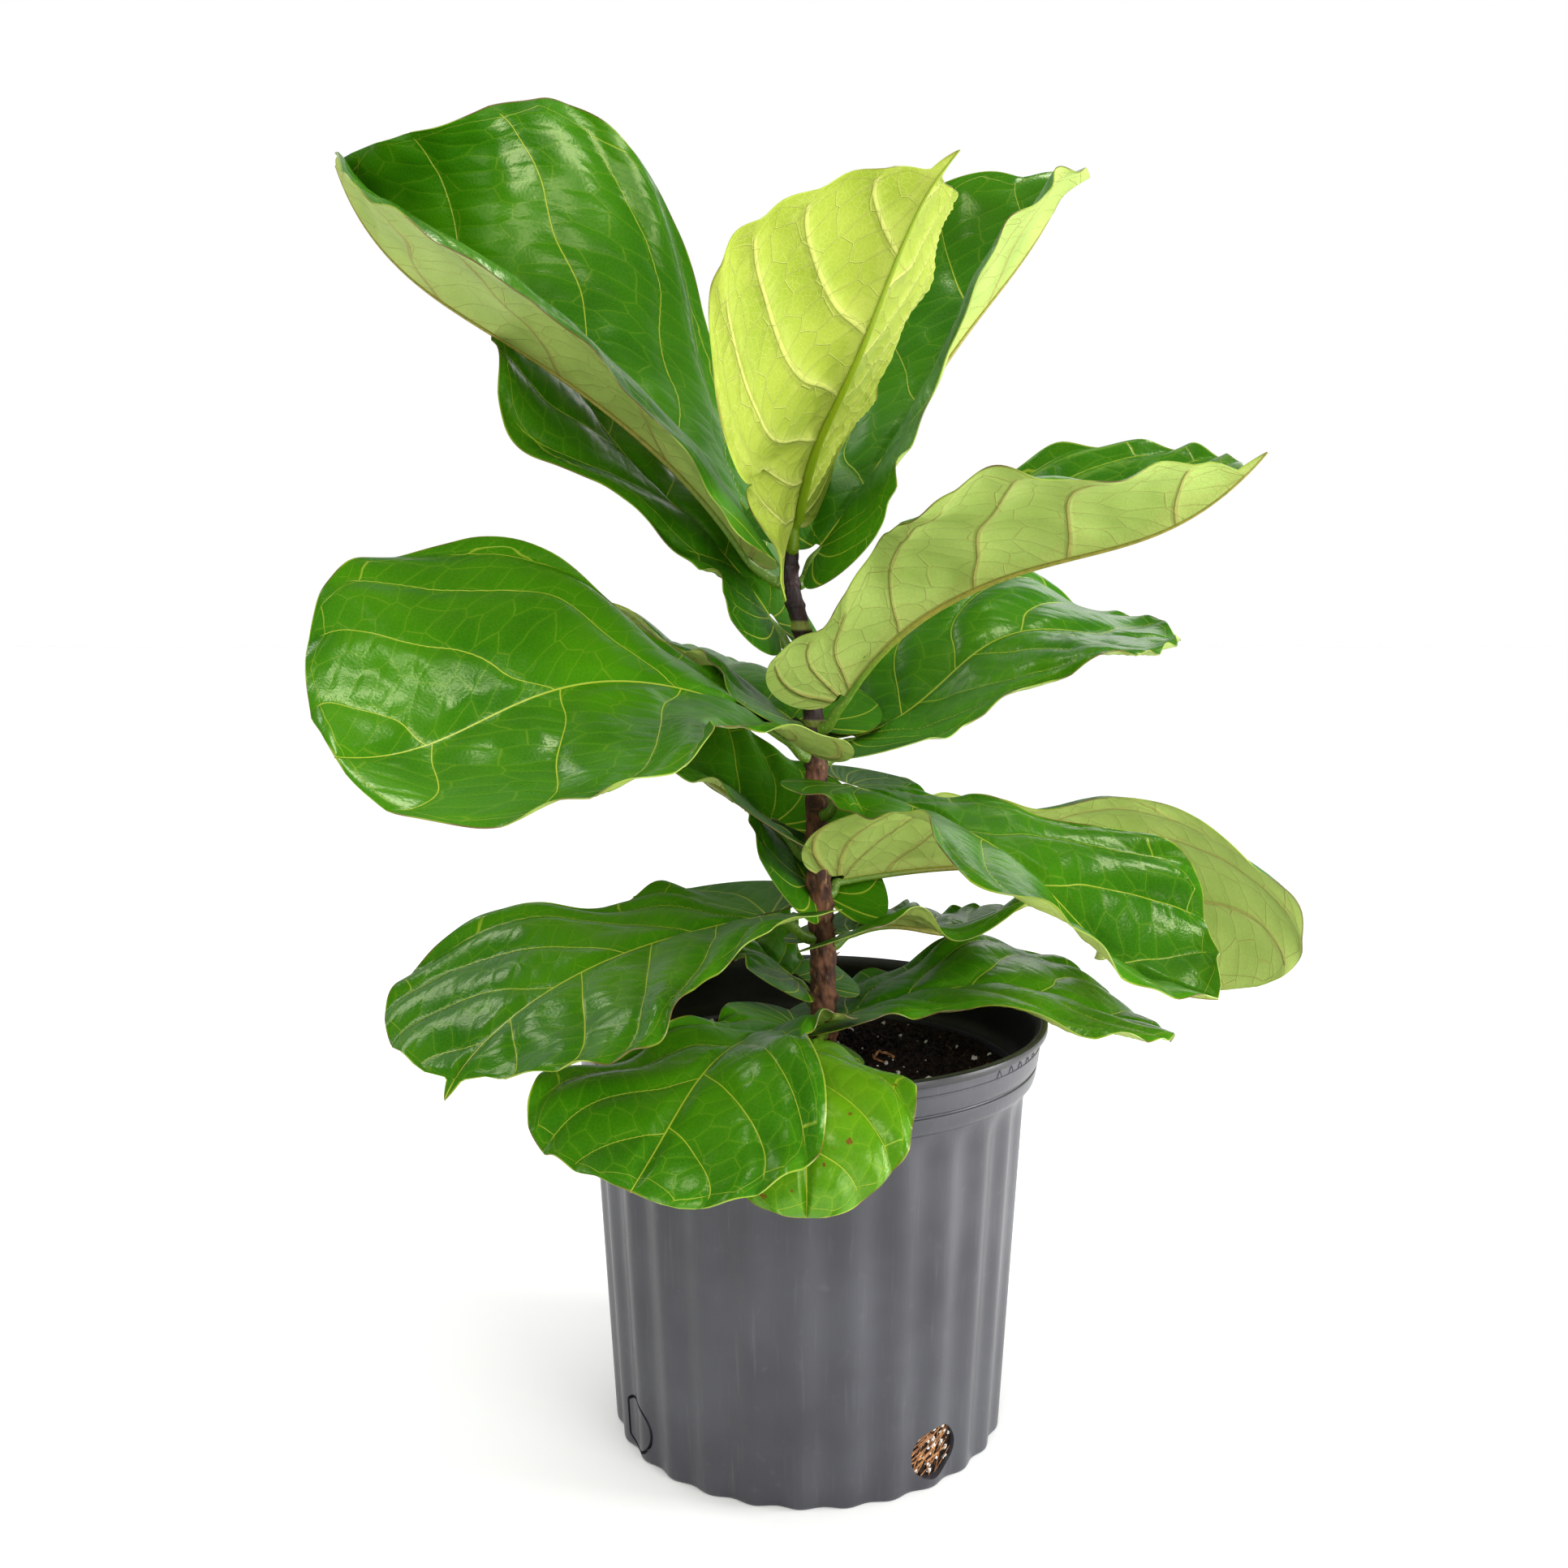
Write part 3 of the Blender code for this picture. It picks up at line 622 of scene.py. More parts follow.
@dataclass(frozen=True)
class LeafFinish:
    """The colours of a leaf's two faces, its veins, its rim and its stalk."""

    deep: Colour
    light: Colour
    vein: Colour
    below: Colour
    below_light: Colour
    below_vein: Colour
    rim: Colour
    stalk: Colour
    ridge: Colour
    dry: Colour = (0.12, 0.075, 0.016)
    scar: Colour = (0.13, 0.035, 0.006)
    scar_ring: Colour = (0.26, 0.105, 0.022)
    pore: Colour = (0.42, 0.44, 0.16)
    slender: float = 0.68
    stout: float = 1.3
    gloss: float = 0.21
    sheen: Colour = (0.94, 1.0, 0.50)
    fine: float = 1.0

    def rim_colour(self, g: Graph) -> bpy.types.NodeSocket:
        """The rim's colour: yellow-green with drier brownish stretches."""
        return g.mix(g.rise(g.noise(g.place(), 26.0, 2.0), 0.44, 0.60), self.rim, self.dry)

    def scarred(self, g: Graph, body: bpy.types.NodeSocket) -> bpy.types.NodeSocket:
        """Brown dead spots with a dark ring, where the leaf's scar value is small.

        Args:
            g: The material being made.
            body: The colour of the healthy blade.

        Returns:
            The colour with the spots.
        """
        _, _, scar = g.split(g.value("form", vector=True))
        blot = g.line(g.noise(g.uv("flat"), 620.0), 2.2, g.plus(scar, -0.90))
        body = g.mix(g.rise(blot, 0.85, 1.25, 0.9, 0.0), body, self.scar)
        return g.mix(g.rise(blot, 0.25, 0.75, 0.7, 0.0), body, self.scar_ring)

    def top(self) -> bpy.types.Material:
        """The glossy upper face: deep green, puckered between veins that lie a little sunk."""
        g = Graph.skin("leaf_top")
        veins = VeinPattern.read(g, self.slender)
        flat = g.uv("flat")
        body = g.mix(g.rise(g.noise(flat, 13.0), 0.30, 0.70), self.deep, self.light)
        body = g.mix(g.rise(veins.pillow, 0.0, 0.7, 0.25, 0.0), body, self.light)
        body = g.layers(body, self.vein, (veins.net, 0.045), (veins.small, 0.13), (veins.swelling, 0.06),
                        (veins.large, 0.86))
        body = g.mix(g.rise(veins.edge, 0.0002, 0.0010, 0.85, 0.0), body, self.rim_colour(g))
        cloud = g.noise(flat, 60.0, 2.0)
        height = g.total((veins.pillow, 0.14), (veins.dimple, 0.03), (veins.large, -0.25), (cloud, 0.20),
                         (veins.crinkle, 0.14))
        rough = g.plus(g.line(cloud, 0.10, self.gloss), g.rise(veins.station, 0.10, 0.50, 0.22, 0.0))
        shine = g.rise(veins.station, 0.05, 0.42, 0.15, 0.47)
        return g.finish(self.scarred(g, body), rough, height, 0.0014, 0.8,
                        Specular_IOR_Level=shine, Specular_Tint=self.sheen)

    def underside(self) -> bpy.types.Material:
        """The paler matt lower face, with every vein raised and fine combed lines between them."""
        g = Graph.skin("leaf_underside")
        veins = VeinPattern.read(g, self.stout)
        patch = g.rise(g.noise(g.uv("flat"), 22.0), 0.3, 0.7)
        body = g.mix(patch, self.below, self.below_light)
        body = g.layers(body, self.below_vein, (g.rise(veins.crinkle, 0.35, 0.62), 0.22),
                        (veins.net, 0.16 * self.fine), (veins.small, 0.36 * self.fine),
                        (veins.swelling, 0.30), (veins.large, 0.85))
        body = g.mix(g.rise(veins.edge, 0.0002, 0.0012, 0.7, 0.0), body, self.rim_colour(g))
        height = g.total((veins.small, 0.20 * self.fine), (veins.large, 0.45), (veins.swelling, 0.75),
                         (veins.net, 0.06), (veins.pillow, -0.15 * self.fine), (veins.crinkle, 0.16))
        return g.finish(self.scarred(g, body), g.line(patch, 0.08, 0.52), height, 0.0013, 0.9,
                        Specular_IOR_Level=0.2)

    def edge(self) -> bpy.types.Material:
        """The thin rim of the blade."""
        g = Graph.skin("leaf_rim")
        shade = g.rise(g.noise(g.place(), 120.0, 2.0), 0.3, 0.7, 0.75, 1.1)
        return g.finish(g.mix(shade, self.deep, self.rim_colour(g)), g.line(shade, 0.1, 0.35))

    def stem(self) -> bpy.types.Material:
        """The stalk and the midrib's ridge: green, streaked along its length, with pale pores at its foot."""
        g = Graph.skin("leaf_stalk")
        _, station, _ = g.split(g.value("form", vector=True))
        spot = g.place()
        streak = g.noise(spot, 420.0, 2.0)
        colour = g.mix(g.rise(station, 0.0, 0.30), self.stalk, self.ridge)
        colour = g.mix(g.rise(streak, 0.35, 0.75, 0.0, 0.35), colour, self.deep)
        pore = g.rise(g.cells(spot, 520.0, "F1", flat=False), 0.16, 0.24, 0.75, 0.0)
        colour = g.mix(g.times(pore, g.rise(station, 0.0, 0.03, 1.0, 0.0)), colour, self.pore)
        return g.finish(colour, 0.42, streak, 0.0004, 0.5)


FINISHES = {
    Look.MATURE: LeafFinish(
        deep=(0.016, 0.110, 0.0006), light=(0.038, 0.172, 0.0010), vein=(0.34, 0.42, 0.032),
        below=(0.275, 0.390, 0.075), below_light=(0.370, 0.490, 0.112), below_vein=(0.36, 0.33, 0.080),
        rim=(0.26, 0.35, 0.03), stalk=(0.13, 0.24, 0.02), ridge=(0.30, 0.26, 0.035)),
    Look.YOUNG: LeafFinish(
        deep=(0.12, 0.30, 0.008), light=(0.20, 0.40, 0.012), vein=(0.45, 0.55, 0.08),
        below=(0.26, 0.35, 0.024), below_light=(0.33, 0.41, 0.040), below_vein=(0.50, 0.54, 0.12),
        rim=(0.40, 0.50, 0.05), stalk=(0.15, 0.24, 0.002), ridge=(0.24, 0.32, 0.006), stout=2.2, fine=1.7),
    Look.OLD: LeafFinish(
        deep=(0.040, 0.165, 0.001), light=(0.095, 0.250, 0.003), vein=(0.36, 0.46, 0.03),
        below=(0.25, 0.34, 0.06), below_light=(0.31, 0.40, 0.08), below_vein=(0.36, 0.36, 0.08),
        rim=(0.36, 0.40, 0.04), stalk=(0.17, 0.27, 0.02), ridge=(0.32, 0.30, 0.04)),
}


@dataclass(frozen=True)
class Leaf:
    """One leaf: lengths in millimetres, angles in degrees, left and right as seen from its stalk.

    The turn swings the heading from foot to tip, and the hook only its last part. The point is the
    length of a narrow tip. The open tip is the part of the fold that is lost at the tip, and the taper
    is 0.5 for a round tip and more for a pointed one. The crumple scales the small bulges. A scar is a
    spot: its place along and across the flat blade and its size.
    """

    height: float
    heading: float
    stalk: float
    stalk_rise: float
    rise: tuple
    roll: tuple
    curl: tuple
    left_fold: tuple
    right_fold: tuple
    length: float
    half_width: float
    widest: float
    waist: float
    lobes: tuple
    wave: tuple
    wave_start: tuple
    turn: float = 0.0
    point: float = 0.0
    hook: float = 0.0
    open_tip: float = 0.0
    taper: float = 0.55
    crumple: float = 1.0
    look: Look = Look.MATURE
    pairs: float = 4.8
    vein_shift: tuple = (0.0, 0.35)
    rib: float = 2.0
    scars: tuple = ()


@dataclass
class Blade:
    """The fine mesh of one leaf, worked out from the leaf's sizes on a grid of rows and columns."""

    leaf: Leaf
    seed: int
    rows: int = 112
    columns: int = 87
    thickness: float = 0.0006
    gap: float = 0.0004
    start_rise: float = 15.0
    bend: float = 0.35
    sinus: float = 0.0036
    sinus_column: float = 0.06
    lobe_reach: float = 0.30
    waist_station: float = 0.24
    waves: float = 2.6
    stalk_foot: float = 0.0037
    stalk_radius: float = 0.0030
    point_half_width: float = 0.09
    hook_station: float = 0.85
    slim: float = 0.3
    tip_radius: float = 0.0003
    lateral_start: float = 0.72
    lateral_arch: float = 0.62
    lateral_power: float = 3.4
    fan_pitch: float = 0.62
    pucker: float = 0.0024
    ripple: float = 0.0022
    healthy: float = 3.0
    row_crowding: float = 1.25
    column_crowding: float = 1.15
    nick: float = 0.016
    nick_size: float = 0.045
    opening: tuple = (0.84, 1.0)
    wave_foot: float = 0.15
    relief_foot: float = 0.10
    phase_power: float = 0.88
    fan_foot: float = 0.004
    vein_sway: float = 0.07
    stalk_sides: int = 12
    rib_sink: float = 0.85

    def stalk_path(self, count: int = 13) -> tuple[np.ndarray, np.ndarray, np.ndarray]:
        """The stalk's centre line: it leaves the bark at a low angle and bends up to the blade.

        Args:
            count: Number of points.

        Returns:
            Parts of the way, the points and the directions there.
        """
        leaf = self.leaf
        q = np.linspace(0.0, 1.0, count)
        heading = np.radians(leaf.heading)
        bend = self.start_rise + (leaf.stalk_rise - self.start_rise) * smooth(q / self.bend)
        later = smooth((q - self.bend) / (1.0 - self.bend))
        settle = leaf.stalk_rise + (leaf.rise[0] - leaf.stalk_rise) * later
        steps = direction(np.radians(np.where(q < self.bend, bend, settle)), heading)
        z = leaf.height * MM
        foot = np.array([stem_x(z), 0.0, z]) + (stem_radius(z) + self.gap) * direction(0.0, heading)
        return q, walk(foot, steps, leaf.stalk * MM), steps

    def frames(self, count: int = 241) -> tuple:
        """Midrib points with their forward, left and upward directions.

        Args:
            count: Number of points.

        Returns:
            Stations from 0 to 1, points, forward, left and upward unit vectors.
        """
        leaf = self.leaf
        s = np.linspace(0.0, 1.0, count)
        rise = np.radians(through(s, (0.0, 0.35, 0.7, 1.0), leaf.rise))
        hook = leaf.hook * smooth((s - self.hook_station) / (1.0 - self.hook_station))
        heading = np.radians(leaf.heading + leaf.turn * s**1.5 + hook)
        forward = direction(rise, heading)
        points = walk(self.stalk_path()[1][-1], forward, leaf.length * MM)
        left = leftward(heading)
        up = np.cross(forward, left)
        roll = np.radians(through(s, (0.0, 0.5, 1.0), leaf.roll))[:, None]
        return (s, points, forward, left * np.cos(roll) + up * np.sin(roll),
                up * np.cos(roll) - left * np.sin(roll))

    def half_width(self, s: np.ndarray) -> np.ndarray:
        """The fiddle outline: lobes, a waist, a broad shoulder and a round or pointed tip.

        Args:
            s: Stations from 0 to 1.

        Returns:
            The half width at each, as a part of the greatest one.
        """
        leaf = self.leaf
        lobe = max(leaf.waist + 0.12, 0.55)
        point = leaf.point / leaf.length
        tip = (1.0 - np.clip((s - leaf.widest) / (1.0 - point - leaf.widest), 0.0, 1.0)**2.3)**leaf.taper
        if point:
            reach = np.clip((s - 1.0 + 2.0 * point) / (2.0 * point), 0.0, 1.0)
            tip = np.maximum(tip, self.point_half_width * (1.0 - reach)**0.8)
        shoulder = leaf.waist + (1.0 - leaf.waist) * smooth(
            (s - self.waist_station) / (leaf.widest - self.waist_station))
        base = leaf.waist + (lobe - leaf.waist) * np.clip(1.0 - s / self.waist_station, 0.0, 1.0)**1.6
        return np.where(s > leaf.widest, tip, np.where(s > self.waist_station, shoulder, base))

    def sheet(self) -> dict[str, np.ndarray]:
        """The middle surface of the blade as a function of station and of the way across.

        Each row of the grid is a cross line. In the flat leaf it bows back into the two lobes. The
        line is then folded and curled about the midrib, waved towards the rim, and puckered.

        Returns:
            Points, unit normals, flat coordinates, vein phases, pitch, rim distance and station.
        """
        leaf = self.leaf
        rows = 1.0 - (1.0 - np.linspace(0.0, 1.0, self.rows))**self.row_crowding
        across = np.linspace(-1.0, 1.0, self.columns)
        across = np.sign(across) * np.abs(across)**self.column_crowding
        s, points, forward, left, up = self.frames()
        length = leaf.length * MM
        width = leaf.half_width * MM
        station = rows[:, None]
        side = np.sign(across)[None, :]
        out = np.abs(across)[None, :]
        is_left = side > 0

        def pick(pair: tuple) -> np.ndarray:
            """The left or the right value of a pair."""
            return np.where(is_left, pair[0], pair[1])

        half = self.half_width(station)
        lobe = np.clip(1.0 - station / self.lobe_reach, 0.0, 1.0)**1.7
        beyond = np.clip((out - self.sinus_column) / (1.0 - self.sinus_column), 0.0, 1.0)**0.9
        sinus = self.sinus / width
        ear = (sinus * np.minimum(out / self.sinus_column, 1.0)
               + (half - sinus) * (1.0 - np.cos(np.pi * beyond)) / 2.0)
        wide = half * out * (1.0 - lobe) + lobe * ear
        along = station - lobe * pick(leaf.lobes) * MM / length * np.sin(np.pi * beyond)**0.9
        flat = np.stack(np.broadcast_arrays(along * length, side * wide * width), -1)
        rim_place = np.stack(np.broadcast_arrays(station * length, side * 0.3), -1)
        wide = wide * (1.0 + self.nick * swell(rim_place, self.nick_size, self.seed) * out**4)
        base = np.clip(along, 0.0, 1.0)
        spine = columns_at(base, s, points) + columns_at(base, s, forward) * (
            np.minimum(along, 0.0) * length)[..., None]
        fold_start = pick((leaf.left_fold[0], leaf.right_fold[0]))
        fold_end = pick((leaf.left_fold[1], leaf.right_fold[1]))
        fold = np.radians(fold_start + (fold_end - fold_start) * smooth(base))
        opened, full = self.opening
        fold = fold * (1.0 - leaf.open_tip * smooth((base - opened) / (full - opened)))
        curl = np.radians(pick(tuple(c if abs(c) > 0.5 else 0.5 for c in leaf.curl)))
        sideways = width * (np.sin(fold + curl * wide) - np.sin(fold)) / curl
        upward = width * (np.cos(fold) - np.cos(fold + curl * wide)) / curl
        phase = 2.0 * np.pi * (self.waves * base + pick(leaf.wave_start))
        ending = np.minimum(half / self.slim, 1.0)
        swing = smooth(base / self.wave_foot) * ending
        upward = upward + pick(leaf.wave) * MM * out**2 * np.sin(phase) * swing
        grid = (spine + columns_at(base, s, left) * (side * sideways)[..., None]
                + columns_at(base, s, up) * upward[..., None])
        veins_right, pitch = self.vein_phase(flat, half * width, -1.0)
        veins_left, _ = self.vein_phase(flat, half * width, 1.0)
        normal = self.normals(grid)
        foot = smooth(base / self.relief_foot) * ending
        relief = self.relief(flat, np.where(is_left, veins_left, veins_right), out, foot)
        grid = grid + normal * relief[..., None]
        rim = np.minimum((1.0 - out) * half * width, (1.0 - station) * length)
        rim = rim + lobe * (1.0 - out) * 0.02
        return {"points": grid, "normal": self.normals(grid), "flat": flat, "left": veins_left,
                "right": veins_right, "pitch": pitch, "rim": np.broadcast_to(rim, grid.shape[:2]),
                "station": np.broadcast_to(station, grid.shape[:2])}

    @staticmethod
    def normals(grid: np.ndarray) -> np.ndarray:
        """Unit normals of a grid, from the cross product of its two slopes; the tip's row is all one.

        Args:
            grid: Points in rows and columns.

        Returns:
            A vector for each point.
        """
        normal = np.cross(np.gradient(grid, axis=0), np.gradient(grid, axis=1))
        normal[-1] = normal[-2].mean(0)
        return unit(normal)

    def vein_phase(self, flat: np.ndarray, half: np.ndarray, side: float) -> tuple[np.ndarray, np.ndarray]:
        """A number that is whole on each lateral vein, and the distance between two of them.

        A lateral leaves the midrib at a slant and arches forward, more and more towards the rim. The
        phase grows with the station where the lateral through a point starts. Behind the first
        lateral the veins fan out from the foot of the blade into the lobe.

        Args:
            flat: Coordinates in the flat leaf, along and across.
            half: Half width of the blade at each row.
            side: 1 for the left half and -1 for the right.

        Returns:
            The phase and the distance in metres.
        """
        length = self.leaf.length * MM
        y = np.abs(flat[..., 1])
        a = np.clip(y / np.maximum(half, 0.004), 0.0, 1.1)
        lean = half * (self.lateral_start * a + self.lateral_arch * a**self.lateral_power)
        slope = self.lateral_start + self.lateral_arch * self.lateral_power * a**(self.lateral_power - 1.0)
        start = (flat[..., 0] - lean) / length
        ahead = np.maximum(start, 0.0)
        power = self.phase_power
        phase = self.leaf.pairs * ahead**power
        growth = self.leaf.pairs * power * np.maximum(ahead, 0.02)**(power - 1.0) / length
        pitch = 1.0 / (growth * np.sqrt(1.0 + slope**2))
        fan = np.maximum(-start, 0.0) * length / (y + self.fan_foot)
        phase = phase - fan / self.fan_pitch
        fan_gap = (y + self.fan_foot) * self.fan_pitch / np.sqrt(1.0 + fan**2)
        pitch = np.where(start < 0.0, np.minimum(fan_gap, pitch * 1.5), pitch)
        sway = swell(flat, 0.085, self.seed * 7 + int(side > 0), 6) * smooth(y / 0.02)
        return phase + self.vein_sway * sway + self.leaf.vein_shift[0 if side > 0 else 1], pitch

    def relief(self, flat: np.ndarray, phase: np.ndarray, out: np.ndarray, foot: np.ndarray) -> np.ndarray:
        """How far the blade bulges: up between laterals, puckers on that, and ripples at the rim.

        Args:
            flat: Coordinates in the flat leaf.
            phase: Numbers that are whole on each lateral vein.
            out: The part of the way from midrib to rim.
            foot: How much of the relief is wanted.

        Returns:
            Heights above the smooth blade in metres.
        """
        between = 1.0 - np.abs(2.0 * (phase % 1.0) - 1.0)**2.6
        fine = self.leaf.crumple * swell(flat, 0.022, self.seed * 3 + 2, 12)
        bumps = swell(flat, 0.050, self.seed * 3 + 1, 12) + 0.3 * fine
        ripple = 0.6 * swell(flat, 0.050, self.seed * 5 + 2, 8) - 0.6 * np.cos(2.0 * np.pi * phase)
        inside = smooth(out / 0.12) * (1.0 - 0.5 * out**3)
        return foot * (self.pucker * inside * (between + 0.30 * bumps) + self.ripple * out**4 * ripple)

    def mesh(self, name: str, materials: Sequence[bpy.types.Material]) -> bpy.types.Object:
        """Close the two faces of the blade round its rim and add the stalk with the midrib's ridge.

        Args:
            name: The piece's name.
            materials: Upper face, lower face, rim and stalk.

        Returns:
            The leaf's object.
        """
        sheet = self.sheet()
        rows = self.rows - 1
        columns = self.columns
        middle = columns // 2
        lift = sheet["normal"] * (self.thickness / 2.0)
        faces = grid_faces(rows, columns)
        tip = rows * columns
        j = np.arange(columns - 1)
        last = (rows - 1) * columns + j
        fan = np.stack([last, np.full(columns - 1, tip), last + 1], -1)
        body = Body()
        lower = tip + 1
        for sign, slot in ((1.0, 0), (-1.0, 1)):
            grid = sheet["points"] + sign * lift
            points = np.concatenate([grid[:-1].reshape(-1, 3), grid[-1:, middle]])
            order = slice(None) if sign > 0 else slice(None, None, -1)
            body.add(points, [faces[:, order], fan[:, order]], slot)
        i = np.arange(rows)
        after = np.where(i + 1 < rows, (i + 1) * columns, tip)
        right = np.stack([i * columns, lower + i * columns, lower + after, after], -1)
        after = np.where(i + 1 < rows, (i + 1) * columns + columns - 1, tip)
        edge = i * columns + columns - 1
        left = np.stack([edge, after, lower + after, lower + edge], -1)
        foot = np.stack([j, j + 1, lower + j + 1, lower + j], -1)
        walls = np.concatenate([right, left, foot])
        body.faces.append(walls)
        body.slots.append(np.full(len(walls), 2))
        stalk, stalk_faces, stalk_form = self.stalk_body()
        body.add(stalk, stalk_faces, 3)
        piece = body.make(name, materials)
        self.store(piece, sheet, stalk_form)
        return piece

    def stalk_body(self) -> tuple:
        """The stalk, carried on below the blade as the midrib's ridge, thinner to the tip.

        Returns:
            Points, face arrays, and the form values of the points.
        """
        q, path, steps = self.stalk_path(24)
        s, points, _, left, up = self.frames(90)
        stalk_left = np.broadcast_to(leftward(np.radians(self.leaf.heading)), path.shape)
        roll = np.radians(self.leaf.roll[0]) * q[:, None]
        stalk_up = np.cross(steps, stalk_left)
        across = stalk_left * np.cos(roll) + stalk_up * np.sin(roll)
        above = stalk_up * np.cos(roll) - stalk_left * np.sin(roll)
        stalk_width = self.stalk_radius + (self.stalk_foot - self.stalk_radius) * (1.0 - smooth(q / 0.35))
        rib = self.tip_radius + (self.leaf.rib * MM - self.tip_radius) * (1.0 - s)**0.95
        drop = rib * self.rib_sink
        spine = points - up * drop[:, None]
        ease = smooth((q - 0.55) / 0.45)[:, None]
        path = path - above * ease * drop[0]
        whole = np.concatenate([path[:-1], spine])
        radii = np.concatenate([stalk_width[:-1] + (rib[0] - stalk_width[:-1]) * ease[:-1, 0], rib])
        tube_points, faces = tube(whole, radii, self.stalk_sides, np.concatenate([across[:-1], left]),
                                  np.concatenate([above[:-1], up]))
        station = np.repeat(np.concatenate([np.zeros(len(q) - 1), s]), self.stalk_sides)
        station = np.concatenate([station, [0.0, 1.0]])
        form = np.stack([np.full(len(station), 0.02), station, np.zeros(len(station))], -1)
        return tube_points, faces, form

    def store(self, piece: bpy.types.Object, sheet: dict[str, np.ndarray], stalk_form: np.ndarray) -> None:
        """Put the flat coordinates, the vein phases, the rim distance and the scar value on the mesh.

        Args:
            piece: The leaf's object.
            sheet: The grids that sheet returned.
            stalk_form: Form values of the stalk's points.
        """
        middle = self.columns // 2

        def whole(grid: np.ndarray) -> np.ndarray:
            """A grid's values in the order of the blade's points, for both faces."""
            one = np.concatenate([grid[:-1].reshape(-1, *grid.shape[2:]), grid[-1:, middle]])
            return np.concatenate([one, one])

        scar = np.full_like(sheet["station"], self.healthy)
        for along, across, size in self.leaf.scars:
            far = np.hypot(sheet["flat"][..., 0] / MM - along, sheet["flat"][..., 1] / MM - across)
            scar = np.minimum(scar, far / size)
        form = np.stack([sheet["rim"], sheet["station"], scar], -1)
        give_values(piece, "form", np.concatenate([whole(form), stalk_form]))
        rest = len(stalk_form)
        mesh = piece.data
        corner = np.empty(len(mesh.loops), np.int32)
        mesh.loops.foreach_get("vertex_index", corner)
        flat = np.concatenate([whole(sheet["flat"]), np.zeros((rest, 2))])
        give_map(piece, "flat", flat[corner])
        owner = np.empty(len(mesh.polygons), np.int32)
        mesh.polygons.foreach_get("loop_total", owner)
        face = np.repeat(np.arange(len(owner)), owner)
        across = flat[corner, 1]
        side = np.bincount(face, across, len(owner))[face] > 0
        left, right, pitch = (np.concatenate([whole(sheet[k]), np.zeros(rest)])
                              for k in ("left", "right", "pitch"))
        give_map(piece, "veins", np.stack([np.where(side, left[corner], right[corner]), pitch[corner]], -1))


